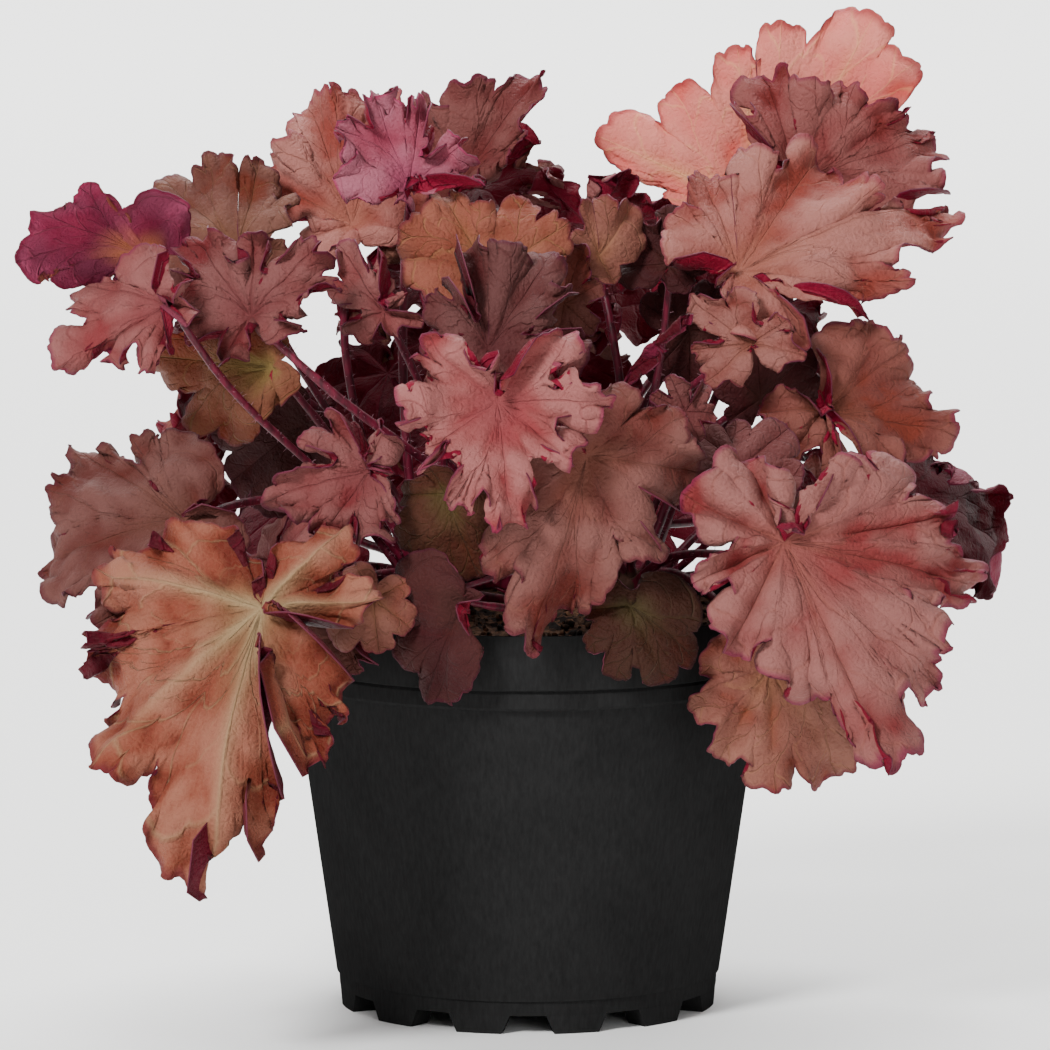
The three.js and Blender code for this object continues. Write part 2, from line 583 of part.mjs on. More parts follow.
// Joins two rings whose points are marked with their place round the leaf.
function stitch(inner, outer, triangles) {
  const turnAfter = (ring, count) => {
    if (count >= ring.length) {
      return Infinity;
    }
    return count + 1 === ring.length ? 1 : ring[count + 1].turn;
  };
  const vertexAt = (ring, count) => ring[count % ring.length].vertex;
  let i = 0;
  let o = 0;
  while (i < inner.length || o < outer.length) {
    const from = vertexAt(inner, i);
    const to = vertexAt(outer, o);
    if (turnAfter(outer, o) <= turnAfter(inner, i) + 1e-9) {
      o += 1;
      triangles.push([from, to, vertexAt(outer, o)]);
    } else {
      i += 1;
      triangles.push([from, to, vertexAt(inner, i)]);
    }
  }
}

function bladeSheet(leaf) {
  const points = [leaf.frame.at.clone()];
  const span = Math.max(...leaf.lobes.map((lobe) => lobe.length));
  const rings = RING_SETS.find(({ over }) => span > over).rings.map(([share, places]) => {
    const ring = [];
    leaf.lobes.forEach((lobe, lobeIndex) => {
      for (const place of places) {
        const turn = (lobeIndex + (place + 1) / 2) / leaf.lobes.length;
        ring.push({ turn, vertex: points.length });
        points.push(bladePoint(leaf, lobe, lobeIndex, place, share));
      }
    });
    return ring;
  });
  const triangles = [];
  const first = rings[0];
  first.forEach((point, index) => {
    triangles.push([0, point.vertex, first[(index + 1) % first.length].vertex]);
  });
  for (let index = 1; index < rings.length; index += 1) {
    stitch(rings[index - 1], rings[index], triangles);
  }
  return { points, triangles, rim: rings[rings.length - 1].map((point) => point.vertex) };
}

function sheetNormals({ points, triangles }) {
  const normals = points.map(() => new THREE.Vector3());
  const one = new THREE.Vector3();
  const two = new THREE.Vector3();
  for (const [a, b, c] of triangles) {
    one.subVectors(points[b], points[a]);
    two.subVectors(points[c], points[a]);
    one.cross(two).normalize();
    for (const vertex of [a, b, c]) {
      normals[vertex].add(one);
    }
  }
  return normals.map((normal) => normal.normalize());
}

// The sheet given its thickness along the leaf's own normal, more of it where the sheet is
// steep, so that the two faces, which have the same triangles, never meet.
function bladeGeometry(leaf, thickness) {
  const sheet = bladeSheet(leaf);
  const offsets = sheetNormals(sheet).map((normal) => {
    const upright = Math.max(STEEPEST, normal.dot(leaf.frame.normal));
    return leaf.frame.normal.clone().multiplyScalar(thickness / 2 / upright);
  });
  const count = sheet.points.length;
  const positions = new Float32Array(count * 6);
  sheet.points.forEach((point, index) => {
    const upper = point.clone().add(offsets[index]);
    const lower = point.clone().sub(offsets[index]);
    upper.toArray(positions, index * 3);
    lower.toArray(positions, (count + index) * 3);
  });
  const faces = [];
  for (const [a, b, c] of sheet.triangles) {
    faces.push(a, b, c);
    faces.push(count + a, count + c, count + b);
  }
  sheet.rim.forEach((a, index) => {
    const b = sheet.rim[(index + 1) % sheet.rim.length];
    faces.push(a, count + a, count + b);
    faces.push(a, count + b, b);
  });
  const geometry = new THREE.BufferGeometry();
  geometry.setAttribute("position", new THREE.BufferAttribute(positions, 3));
  geometry.setIndex(faces);
  geometry.computeVertexNormals();
  return geometry;
}

// ---------------------------------------------------------------- all the leaves
function habitOf(name, lobeCount, seed) {
  const habit = { ...HABITS[name], phase: (seed * PHASE_STEP) % (2 * Math.PI) };
  habit.waves = Math.round(habit.waves * lobeCount) / lobeCount;
  return habit;
}

function frontLeaves() {
  return FRONT_LEAVES.map(([name, habitName, color, at, [azimuth, elevation], tips], index) => {
    const frame = leafFrame(at, azimuth, elevation);
    const habit = habitOf(habitName, tips.length, index + 1);
    const lobes = withNotches(lobesFromFront(frame, tips, habit), habit.notch);
    return { name, color, frame, habit, lobes };
  });
}

function backLeaves() {
  const leaves = [];
  for (const tier of BACK_TIERS) {
    for (let index = 0; index < tier.count; index += 1) {
      const seed = leaves.length + BACK_SEED;
      const random = randomFrom(seed * 7919);
      random();
      const azimuth = tier.from + ((tier.to - tier.from) * index) / (tier.count - 1);
      const foot = direction(azimuth, 0).multiplyScalar(tier.radius * (0.94 + 0.12 * random()));
      const at = [foot.x, foot.y, tier.z + 14 * (random() - 0.5)];
      const frame = leafFrame(at, azimuth, tier.elevation + 8 * (random() - 0.5));
      const tips = lobesByRule(tier.reach * (0.9 + 0.2 * random()), 40 * (random() - 0.5), random);
      const habit = habitOf(tier.habits[index % tier.habits.length], tips.length, seed);
      const name = `leaf_back_${String(leaves.length + 1).padStart(2, "0")}`;
      const color = BACK_TONES[leaves.length % BACK_TONES.length];
      leaves.push({ name, color, frame, habit, lobes: withNotches(tips, habit.notch) });
    }
  }
  return leaves;
}

// ---------------------------------------------------------------- settling and petioles
function boxOf(geometry, margin) {
  geometry.computeBoundingBox();
  return geometry.boundingBox.clone().expandByScalar(margin);
}

function meets(placed, solid, box) {
  return placed.some((other) => other.box.intersectsBox(box) && !other.solid.intersect(solid).isEmpty());
}

// Each blade in turn goes to the first place along its own normal where it is clear of all
// that is already there.
function settleBlade(leaf, placed) {
  const start = leaf.frame.at.clone();
  for (let distance = 0; distance <= SETTLE_LIMIT; distance += SETTLE_STEP) {
    for (const side of [-1, 1]) {
      leaf.frame.at.copy(start).addScaledVector(leaf.frame.normal, side * distance);
      const guard = bladeGeometry(leaf, BLADE_THICKNESS + 4 * GAP);
      if (!meets(placed, solidOf(guard), boxOf(guard, 0))) {
        return;
      }
    }
  }
  throw new Error(`${leaf.name} has no clear place`);
}

function crownsByDistance(leaf, crowns) {
  const { x, y } = leaf.frame.at;
  const distance = (crown) => Math.hypot(crown.x * CROWN_SHARE_X - x, crown.y * CROWN_SHARE_Y - y);
  return [...crowns].sort((one, two) => distance(one) - distance(two));
}

function petioleGeometry(curve, radius) {
  const section = new THREE.Shape();
  for (let side = 0; side < PETIOLE_SIDES; side += 1) {
    const angle = (side * 2 * Math.PI) / PETIOLE_SIDES;
    const x = radius * Math.cos(angle);
    const y = radius * Math.sin(angle);
    if (side === 0) {
      section.moveTo(x, y);
    } else {
      section.lineTo(x, y);
    }
  }
  const options = { steps: PETIOLE_STEPS, extrudePath: curve, bevelEnabled: false };
  return new THREE.ExtrudeGeometry(section, options);
}

// A petiole rises from its crown, bows out and comes up under its blade, where it ends at
// the stand-off from the blade's middle plane.
function petioleCurve(leaf, crown, rank, bow, standOff) {
  const { at, normal } = leaf.frame;
  const fan = START_FAN * ((rank % START_FANS) - 1);
  const bearing = Math.atan2(at.y - crown.y, at.x - crown.x) + fan;
  const out = new THREE.Vector3(Math.cos(bearing), Math.sin(bearing), 0);
  const across = new THREE.Vector3(-out.y, out.x, 0);
  const startZ = CROWN_TOP_Z - START_DROP - (rank % START_STEPS) * START_STEP;
  const start = new THREE.Vector3(crown.x, crown.y, startZ);
  start.addScaledVector(out, CROWN_RADIUS * START_SHARE);
  const span = start.distanceTo(at);
  const first = start.clone().addScaledVector(out, span * SPREAD_SHARE + bow.out);
  first.addScaledVector(across, bow.across);
  first.z += span * RISE_SHARE + bow.up;
  const arrive = normal.clone();
  arrive.z += bow.lean;
  arrive.normalize();
  const end = at.clone().addScaledVector(normal, -standOff);
  const second = end.clone().addScaledVector(arrive, -span * ARRIVAL_SHARE);
  second.addScaledVector(across, bow.across * SIDE_CARRY);
  second.z += bow.up * LIFT_CARRY;
  return new THREE.CubicBezierCurve3(start, first, second, end);
}

function bowsToTry() {
  const bows = [];
  for (const size of BOW_SIZES) {
    for (const lean of BOW_LEANS) {
      for (let turn = 0; turn < (size === 0 ? 1 : BOW_TURNS); turn += 1) {
        const angle = (turn * 2 * Math.PI) / BOW_TURNS;
        bows.push({ lean, across: size * Math.cos(angle), up: size * Math.sin(angle), out: 0 });
        bows.push({ lean, across: size * Math.cos(angle), up: 0, out: size * Math.sin(angle) });
      }
    }
  }
  return bows;
}

function makeCrown({ name, x, y }) {
  const radius = CROWN_RADIUS - GAP;
  const profile = [
    [0, CROWN_FOOT_Z],
    [radius * CROWN_TAPER, CROWN_FOOT_Z],
    [radius, CROWN_FOOT_Z + radius / 2],
    [radius, CROWN_TOP_Z - radius / 2],
    [radius * CROWN_TAPER, CROWN_TOP_Z],
    [0, CROWN_TOP_Z],
  ];
  const geometry = turned(profile, CROWN_SIDES);
  geometry.translate(x, y, 0);
  const solid = solidOf(geometry);
  return { name, x, y, stub: { solid, box: boxOf(geometry, GAP) }, solid, petioles: [] };
}

// What a petiole that grows from this crown keeps clear of: the other blades, the other
// crowns and, where that is asked for, the crown's other petioles.
function obstacles(blades, crowns, crown, apart) {
  const others = [...blades];
  for (const other of crowns) {
    if (other !== crown) {
      others.push(other.stub, ...other.petioles);
    } else if (apart) {
      others.push(...other.petioles);
    }
  }
  return others;
}

// The way along this bow that ends closest under the blade without meeting it.
function closestCurve(leaf, crown, rank, bow, radius, own) {
  for (let room = GAP; room <= PETIOLE_RADIUS + 2 * GAP; room += GAP / 2) {
    const curve = petioleCurve(leaf, crown, rank, bow, BLADE_THICKNESS / 2 + room);
    if (!meets([own], solidOf(petioleGeometry(curve, radius + ARRIVAL_CLEARANCE)), own.box)) {
      return curve;
    }
  }
  return null;
}

function isClear(curve, radius, crown, others) {
  const guard = solidOf(petioleGeometry(curve, radius)).subtract(crown.stub.solid);
  return !meets(others, guard, boxOf(geometryOf(guard), 0));
}

function clearCurve(leaf, crown, rank, radius, own, others) {
  for (const bow of bowsToTry()) {
    if (!isClear(petioleCurve(leaf, crown, rank, bow, PETIOLE_RADIUS), radius + 2 * GAP, crown, others)) {
      continue;
    }
    const curve = closestCurve(leaf, crown, rank, bow, radius, own);
    if (curve && isClear(curve, radius + 1.5 * GAP, crown, others)) {
      return curve;
    }
  }
  return null;
}

// Runs a petiole to the blade from the nearest crown that has a clear way, and fuses it to
// that crown.
function growPetiole(leaf, rank, placed, crowns) {
  const radius = PETIOLE_RADIUS * (leaf.lobes.length > LARGE_LOBES ? LARGE_PETIOLE : SMALL_PETIOLE);
  const own = placed.find((other) => other.leaf === leaf);
  const blades = placed.filter((other) => other !== own);
  for (const apart of [true, false]) {
    for (const crown of crownsByDistance(leaf, crowns)) {
      const others = obstacles(blades, crowns, crown, apart);
      const curve = clearCurve(leaf, crown, rank, radius, own, others);
      if (curve) {
        const petiole = solidOf(petioleGeometry(curve, radius));
        const outside = petiole.subtract(crown.stub.solid);
        crown.petioles.push({ solid: outside, box: boxOf(geometryOf(outside), GAP) });
        crown.solid = crown.solid.add(petiole);
        return;
      }
    }
  }
  throw new Error(`${leaf.name} has no clear petiole`);
}

// ---------------------------------------------------------------- the plant put together
const pot = makePot();
const soil = makeSoil();
const potGeometry = geometryOf(pot);
const soilGeometry = geometryOf(soil);
const leaves = [...frontLeaves(), ...backLeaves()];

const placed = [
  { solid: pot, box: boxOf(potGeometry, GAP) },
  { solid: soil, box: boxOf(soilGeometry, GAP) },
];
for (const leaf of leaves) {
  settleBlade(leaf, placed);
  leaf.geometry = bladeGeometry(leaf, BLADE_THICKNESS);
  placed.push({ leaf, solid: solidOf(leaf.geometry), box: boxOf(leaf.geometry, GAP) });
}

const crowns = CROWNS.map(makeCrown);
leaves.forEach((leaf, rank) => growPetiole(leaf, rank, placed, crowns));

addMesh("pot", potGeometry, POT_COLOUR, POT_ROUGHNESS);
addMesh("soil", soilGeometry, SOIL_COLOUR, SOIL_ROUGHNESS);
for (const crown of crowns) {
  addMesh(crown.name, geometryOf(crown.solid), PETIOLE_COLOUR, LEAF_ROUGHNESS);
}
for (const leaf of leaves) {
  addMesh(leaf.name, leaf.geometry, leaf.color, LEAF_ROUGHNESS);
}

export default group;
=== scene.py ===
"""Heuchera in its black nursery pot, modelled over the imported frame.

Leaves are worked out in millimetres, as the part's own source does, and turned to metres
when their mesh is made. Everything else is in metres. +Z is up and the plant's showiest
side faces -Y.
"""
import bisect
import json
import math
import random
from collections import namedtuple

import bmesh
import bpy
from mathutils import Matrix, Vector, noise


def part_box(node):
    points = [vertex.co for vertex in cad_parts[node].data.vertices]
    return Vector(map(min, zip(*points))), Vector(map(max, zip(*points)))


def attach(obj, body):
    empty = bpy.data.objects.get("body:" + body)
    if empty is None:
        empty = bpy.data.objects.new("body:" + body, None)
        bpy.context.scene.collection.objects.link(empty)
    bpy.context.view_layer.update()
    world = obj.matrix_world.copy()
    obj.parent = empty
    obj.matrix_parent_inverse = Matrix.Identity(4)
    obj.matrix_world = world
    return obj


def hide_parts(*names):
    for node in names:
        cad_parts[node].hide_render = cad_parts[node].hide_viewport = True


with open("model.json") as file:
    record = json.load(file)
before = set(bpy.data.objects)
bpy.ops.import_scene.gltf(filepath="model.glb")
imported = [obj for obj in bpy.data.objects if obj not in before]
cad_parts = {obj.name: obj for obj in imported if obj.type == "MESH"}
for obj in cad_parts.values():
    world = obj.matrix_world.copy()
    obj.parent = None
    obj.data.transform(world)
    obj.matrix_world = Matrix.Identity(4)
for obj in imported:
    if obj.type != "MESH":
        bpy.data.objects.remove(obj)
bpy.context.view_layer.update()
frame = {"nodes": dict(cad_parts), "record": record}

bl_info = {
    "name": "Heuchera in a nursery pot",
    "version": (1, 0, 0),
    "blender": (4, 5, 0),
    "location": "3D View > Sidebar > Heuchera",
    "description": "Leaves, stalks, potting mix and pot of a bronze heuchera, with its stage",
    "category": "Add Mesh",
}

MM = 0.001
ROOT = "root"
FULL_TURN = 2 * math.pi

# ---------------------------------------------------------------- sizes shared with the source
SINUS_REACH = 5              # blade left between the petiole and the open sinus, mm
WIDE_SPACE = math.radians(38)  # lobes this far apart are cut to their full depth
LENGTH_WEIGHT = 2            # how strongly the longer of two lobes takes their space
LEAST_SHARE = 0.3            # and what it leaves to the shorter one
AIM_STEP = math.radians(1)   # a lobe is aimed at its place in turns this large
AIM_STEPS = 40
MOST_STRETCH = 1.3           # and made up to this much longer than on a flat blade
MOST_SQUARE = 4.6            # exponent of a lobe's outline where its notch is shallow
LEAST_SQUARE = 1.7           # and where the lobe is long and tapers
SHALLOW = 0.26               # a notch cut deeper than this starts to taper its lobe
TAPER = 12                   # what each further share of depth takes off the exponent
FADE_POWER = 6               # how late in a lobe its teeth give way to the notch
UNEVEN = 0.25                # share of the ruffle that comes and goes round a blade
BEND_STEPS = 12              # steps of the bend that is summed along each radius
SLOPE_LIMIT = 62             # no blade leans further than this against its plane
PHASE_STEP = 2.4             # radians between the ruffles of leaves made in turn

# How the blades of each habit are cut and waved. Angles are in degrees. cup is the slope at
# the petiole, droop the bend added out to the margin, tip more of it towards the tip, fold a
# saddle across the midrib, pleat the rise of each lobe above its notches, and ruffle the
# swing of the margin, with so many waves to a lobe. notch is how far out the notches lie,
# and tooth how deep the large teeth are cut, as shares of the reach.
HABITS = {
    "broad": dict(cup=8, droop=-30, tip=-14, fold=8, pleat=3, ruffle=50, waves=0.5,
                  notch=0.66, tooth=0.07),
    "ruffled": dict(cup=12, droop=-14, tip=-16, fold=8, pleat=3, ruffle=62, waves=0.8,
                    notch=0.66, tooth=0.1),
    "young": dict(cup=20, droop=-16, tip=-10, fold=10, pleat=4, ruffle=62, waves=0.9,
                  notch=0.74, tooth=0.1),
    "round": dict(cup=4, droop=-26, tip=-8, fold=6, pleat=2, ruffle=22, waves=0.5,
                  notch=0.78, tooth=0.04),
    "backlit": dict(cup=2, droop=-14, tip=0, fold=4, pleat=2, ruffle=22, waves=0.4,
                    notch=0.74, tooth=0.03),
    "small": dict(cup=10, droop=-22, tip=-10, fold=8, pleat=3, ruffle=48, waves=0.6,
                  notch=0.72, tooth=0.06),
    "roll": dict(cup=30, droop=46, tip=0, fold=0, pleat=3, ruffle=12, waves=0.5,
                 notch=0.85, tooth=0.04),
}

# What the fine blades add to each habit: frill is the swing of the margin's waves in
# degrees, pitch their length in mm, curl the height of its loose lumps in mm, crumple that
# of the blade's, as a share, teeth the depth of the small rounded teeth in mm, and fold the
# height of the swelling between two main veins in mm.
FINERY = {
    "broad": dict(frill=27, pitch=20, curl=2.4, crumple=1.0, teeth=1.5, fold=3.2),
    "ruffled": dict(frill=52, pitch=15, curl=3.2, crumple=1.3, teeth=1.8, fold=2.0),
    "young": dict(frill=58, pitch=11, curl=3.0, crumple=1.1, teeth=1.4, fold=2.0),
    "round": dict(frill=16, pitch=22, curl=1.6, crumple=0.9, teeth=1.2, fold=2.6),
    "backlit": dict(frill=16, pitch=24, curl=1.4, crumple=0.7, teeth=1.0, fold=1.6),
    "small": dict(frill=30, pitch=13, curl=2.0, crumple=0.8, teeth=1.1, fold=2.2),
    "roll": dict(frill=14, pitch=16, curl=2.0, crumple=0.8, teeth=0.8, fold=1.0),
}

# Margins that curl over and show the underside: the direction from the petiole as seen from
# the front, in degrees anticlockwise from +X, how far the curl spreads, and its width in mm.
CURLS = {
    "leaf_orange_front": ((-22, 16, 13), (-79, 8, 19), (-99, 6, 14)),
    "leaf_pale_back": ((-164, 24, 9), (-32, 30, 9)),
    "leaf_back_top": ((-24, 40, 20),),
    "leaf_rose_right": ((72, 9, 6),),
    "leaf_bronze_hanging": ((-40, 10, 7),),
    "leaf_rose_front": ((-150, 12, 7), (70, 14, 7)),
    "leaf_curled_centre": ((40, 45, 12),),
    "leaf_rose_left": ((100, 22, 9), (10, 14, 8)),
    "leaf_folded_low": ((-30, 44, 13),),
    "leaf_bronze_right": ((-170, 16, 8), (-30, 12, 8)),
    "leaf_redbrown_top": ((-20, 16, 8), (160, 26, 8)),
    "leaf_rose_upper": ((115, 10, 12), (20, 12, 7)),
    "leaf_copper_left": ((60, 16, 8), (-60, 14, 8)),
    "leaf_rose_small": ((70, 12, 6),),
    "leaf_bronze_left": ((20, 10, 6),),
    "leaf_red_rim": ((0, 40, 6),),
    "leaf_pink_shoulder": ((-60, 24, 8),),
    "leaf_umber_right": ((118, 16, 10), (-60, 12, 6)),
    "leaf_young_top": ((-30, 24, 7), (60, 14, 6)),
}

# Leaves folded otherwise than their habit: below 0 the main veins stand on ridges.
FOLDS = {"leaf_orange_front": -1.7, "leaf_rose_right": 2.3, "leaf_redbrown_top": 1.6}

# How light the blade is next to others of its finish: partly for leaves of another age, partly painted shade
# on leaves that lie in shade and painted light on lit ones.
DEPTH_AND_PAINTED_LIGHT = {
    "leaf_bronze_right": 1.3, "leaf_bronze_hanging": 0.74, "leaf_bronze_left": 0.5,
    "leaf_copper_left": 0.95, "leaf_rose_right": 1.16, "leaf_rose_front": 1.25,
    "leaf_rose_upper": 0.48, "leaf_rose_small": 0.7, "leaf_rose_left": 0.85,
    "leaf_rose_high": 1.6, "leaf_orange_front": 0.7, "leaf_pale_back": 0.95,
    "leaf_tan_left": 0.6, "leaf_umber_right": 1.6, "leaf_olive_left": 1.2,
    "leaf_olive_front": 0.5, "leaf_olive_rim": 0.28, "leaf_young_top": 1.25,
    "leaf_pink_shoulder": 0.7, "leaf_red_rim": 0.7, "leaf_rose_shoulder": 0.75,
    "leaf_back_top": 1.15, "leaf_redbrown_top": 1.15, "leaf_wine_curl": 0.55,
    "leaf_wine_far": 0.7,
}

# One row for each leaf that shows from the front: its name, its habit, where its petiole
# ends, the direction its upper face looks in (azimuth, with -90 to the front, and
# elevation), and its lobe tips in the front elevation, right of and above that point. A
# third number on a tip is how far out the notch after it lies, going from the lowest lobe to
# the right, as a share of the shorter lobe beside it.
FRONT_LEAVES = [
    ("leaf_bronze_hanging", "broad", (18, -86, 198), (-82, 8),
     ((-27, -15), (-34, -39, 0.78), (-18, -66), (-4, -55, 0.62), (23, -37, 0.8), (38, -8),
      (33, 12), (16, 21))),
    ("leaf_rose_right", "broad", (84, -100, 171), (-80, 24),
     ((9, -51), (37, -71), (50, -50), (55, -36, 0.62), (67, -20), (60, 7, 0.8), (42, 18),
      (22, 30), (-14, 30, 0.75), (-34, 16, 0.45), (-30, -14), (-18, -34, 0.75))),
    ("leaf_orange_front", "broad", (-87, -112, 151), (-104, 26),
     ((-14, -94), (16, -51), (27, -37, 0.45), (40, 3), (29, 22), (-37, 23), (-53, 6),
      (-60, -13, 0.8), (-57, -27), (-56, -51, 0.8))),
    ("leaf_rose_front", "ruffled", (-10, -104, 218), (-90, 12),
     ((5, -43, 0.7), (27, -20), (39, 2, 0.75), (27, 20), (-26, 21, 0.75), (-34, 0, 0.8),
      (-32, -22, 0.7), (-13, -35))),
    ("leaf_bronze_right", "broad", (71, -18, 252), (-84, 38),
     ((24, -25), (43, -17, 0.62), (60, -5), (75, 14, 0.85), (50, 29), (30, 36, 0.85), (9, 41),
      (-13, 33, 0.8), (-22, 20))),
    ("leaf_pale_back", "backlit", (82, 58, 265), (-95, 4),
     ((-59, 26), (-33, 42), (-10, 58, 0.72), (5, 66, 0.88), (38, 69), (51, 54), (48, 30),
      (-36, 4))),
    ("leaf_redbrown_top", "broad", (92, 28, 277), (-80, 26),
     ((-25, 27), (-12, 39), (4, 38), (21, 31), (40, 25), (50, 14), (53, -5), (-14, 0))),
    ("leaf_umber_right", "broad", (99, -26, 205), (-74, 34),
     ((-22, 1), (-12, -15), (7, -21), (27, -21), (47, -9), (36, 5), (30, 21), (19, 26))),
    ("leaf_tan_low", "round", (80, -76, 126), (-76, 8),
     ((-26, -16), (-17, -31), (2, -42), (24, -39), (47, -28), (46, -10), (-24, 1))),
    ("leaf_bronze_left", "broad", (-114, -68, 175), (-112, 36),
     ((0, -30), (20, -10), (-6, 25), (-19, 26, 0.7), (-39, 17), (-49, 7, 0.8), (-50, -24),
      (-29, -35))),
    ("leaf_rose_left", "ruffled", (-52, -86, 193), (-100, 18),
     ((-24, 10), (-10, 24), (6, 18), (11, 1), (10, -17), (-1, -25), (-18, -24), (-33, -12))),
    ("leaf_olive_left", "round", (-85, -48, 223), (-112, 6),
     ((3, -13), (-14, 13), (-34, 14), (-46, 1, 0.72), (-30, -20), (-15, -27))),
    ("leaf_rose_shoulder", "ruffled", (-92, -50, 240), (-106, 28),
     ((-34, 12), (-28, -4), (-12, -16), (18, -4), (30, 12), (22, 27), (1, 30), (-21, 26))),
    ("leaf_copper_left", "broad", (-118, -70, 246), (-122, 34),
     ((-19, 11), (-33, 0), (-41, -24), (-22, -19), (-7, -22), (-1, -15))),
    ("leaf_rose_upper", "broad", (-13, -66, 231), (-90, 30),
     ((-22, 3), (-20, 19), (-9, 32), (7, 36), (22, 30), (30, 17), (34, 1))),
    ("leaf_rose_high", "broad", (-60, 20, 264), (-98, 32),
     ((-34, 15), (-27, 29), (-15, 39), (-7, 48), (14, 46), (20, 22), (-18, -6))),
    ("leaf_tan_left", "broad", (-98, 4, 257), (-102, 42),
     ((-30, 5), (-28, 22), (-12, 30), (7, 30), (19, 18), (17, 0))),
    ("leaf_young_top", "young", (-40, -18, 280), (-90, 34),
     ((-25, 5), (-24, 21), (-13, 33), (5, 32), (19, 18), (25, 3), (-3, -7))),
    ("leaf_orange_top", "broad", (-13, -44, 259), (-90, 32),
     ((-31, 15), (-17, 26), (-3, 25), (13, 24), (27, 17), (24, -1), (-28, 3))),
    ("leaf_back_top", "broad", (-25, 28, 275), (-96, 18),
     ((-14, 32), (8, 41), (30, 41), (26, 20), (9, 3), (-19, 10))),
    ("leaf_wine_left", "round", (-120, -34, 250), (118, 26),
     ((-42, 3), (-36, 19), (-21, 26), (-8, 20), (-31, -5), (-11, -10))),
    ("leaf_wine_far", "broad", (130, 80, 165), (34, 24),
     ((28, 8), (40, -20), (14, -23), (-6, -17), (11, 18))),
    ("leaf_under_bronze", "ruffled", (75, -34, 229), (-104, 22),
     ((-21, 15), (-6, 18), (13, 9), (18, -2), (-21, -2), (-16, -12))),
    ("leaf_olive_front", "round", (-27, -84, 185), (-100, 4),
     ((-16, -1), (-14, -19), (-2, -30), (11, -29), (14, -15), (-6, 9))),
    ("leaf_olive_rim", "round", (34, -94, 150), (-86, 20),
     ((-16, -2), (-14, -15), (-5, -24), (12, -26), (23, -18), (23, -6))),
    ("leaf_folded_low", "round", (-20, -92, 151), (-112, -4),
     ((-23, -7), (-18, -23), (-13, -35), (-5, -35), (6, -7))),
    ("leaf_pink_shoulder", "round", (71, -68, 191), (-92, 38),
     ((-24, -3), (-17, 11), (-2, 15), (16, 12), (21, -3), (-22, -12))),
    ("leaf_dark_small", "small", (47, -6, 254), (-112, 22),
     ((-19, 16), (0, 18), (17, 9), (-18, -3), (7, -9))),
    ("leaf_curl_small", "small", (23, -8, 256), (-70, 12),
     ((-8, 9), (-5, 20), (3, 21), (12, 17), (6, -9))),
    ("leaf_rose_small", "ruffled", (52, -74, 211), (-76, 26),
     ((-11, 7), (-5, 13), (7, 9), (11, -1), (5, -9))),
    ("leaf_tan_rim", "round", (-51, -90, 151), (-100, 14),
     ((-16, -1), (-14, -15), (2, -18), (13, -10), (12, 6), (-7, 12))),
    ("leaf_red_rim", "small", (-63, -87, 137), (-108, 2),
     ((-16, -2), (-9, -10), (5, -12), (16, -5))),
    ("leaf_wine_curl", "roll", (30, -62, 214), (-28, 6),
     ((-21, 34), (-15, 36), (-5, 24), (4, 5), (-19, 14), (-9, -1))),
    ("leaf_curled_centre", "ruffled", (-46, -30, 238), (-112, 20),
     ((-17, 6), (-14, 21), (3, 25, 0.7), (15, 13), (13, -1), (-15, -6))),
    ("leaf_shade_centre", "ruffled", (13, -28, 243), (-84, 10),
     ((-12, 7), (-6, 19), (7, 21), (13, 7), (10, -10), (-2, -12))),
    ("leaf_shade_left", "round", (-75, -24, 201), (-108, 0),
     ((-31, -5), (-26, -22), (-14, -32), (2, -29), (11, -5), (-18, 11))),
    ("leaf_umber_behind", "round", (55, 10, 229), (-80, 8),
     ((-17, 10), (-7, 18), (10, 15), (17, 0), (14, -20), (0, -27), (-14, -17))),
    ("leaf_umber_low", "round", (79, 6, 206), (-84, 4),
     ((-15, 14), (-1, 21), (18, 17), (24, 0), (14, -14), (-11, -8))),
]

# Leaves of the sides and the back, in tiers: height, distance from the axis, elevation of
# the upper face, reach of the longest lobe, how many, first and last azimuth, habits.
Tier = namedtuple("Tier", "height distance elevation reach leaves first last habits")
BACK_TIERS = (
    Tier(168, 113, 32, 49, 8, -18, 198, ("broad", "round")),
    Tier(214, 92, 34, 47, 5, 22, 160, ("ruffled", "broad")),
    Tier(258, 60, 44, 38, 3, 70, 140, ("ruffled", "young")),
)
BACK_SEED = 60               # of the first back leaf
SEED_STRIDE = 7919           # between the draws of two back leaves
LOBE_PITCH = 47              # degrees between the lobes of a back leaf
LOBE_SHRINK = (1, 0.94, 0.84, 0.7)   # their lengths from the tip to the base
LOBE_WANDER = 10             # degrees over which a lobe's own direction is drawn
LOBE_SPREAD = 0.08           # how far its length is off the rule, as a share, at most
REACH_SPREAD = 0.1           # and the reach of the whole blade
DISTANCE_SPREAD = 0.06       # and its distance from the axis
BLADE_TURN = 40              # degrees over which a back blade's turn is drawn
LOOK_WANDER = 8              # and the elevation of its upper face
HEIGHT_WANDER = 14           # and its height, in mm

# The crowns, and where they stand on the mix.
CROWNS = {"left": (-30, -14), "centre": (4, 14), "right": (32, -16)}


# ---------------------------------------------------------------- small tools
def paint(hex_colour):
    """Linear RGBA of an sRGB hex colour."""
    channels = [int(hex_colour[i:i + 2], 16) / 255 for i in (1, 3, 5)]
    linear = [c / 12.92 if c <= 0.04045 else ((c + 0.055) / 1.055) ** 2.4 for c in channels]
    return (*linear, 1.0)


def add(tree, kind, inputs=(), out=0, **settings):
    """Adds a node, sets it, fills its inputs with values or links, and gives one output."""
    node = tree.nodes.new(f"ShaderNode{kind}")
    for key, value in settings.items():
        setattr(node, key, value)
    for key, value in inputs.items() if isinstance(inputs, dict) else enumerate(inputs):
        if isinstance(value, bpy.types.NodeSocket):
            tree.links.new(value, node.inputs[key])
        else:
            node.inputs[key].default_value = value
    return node.outputs[out] if node.outputs else None


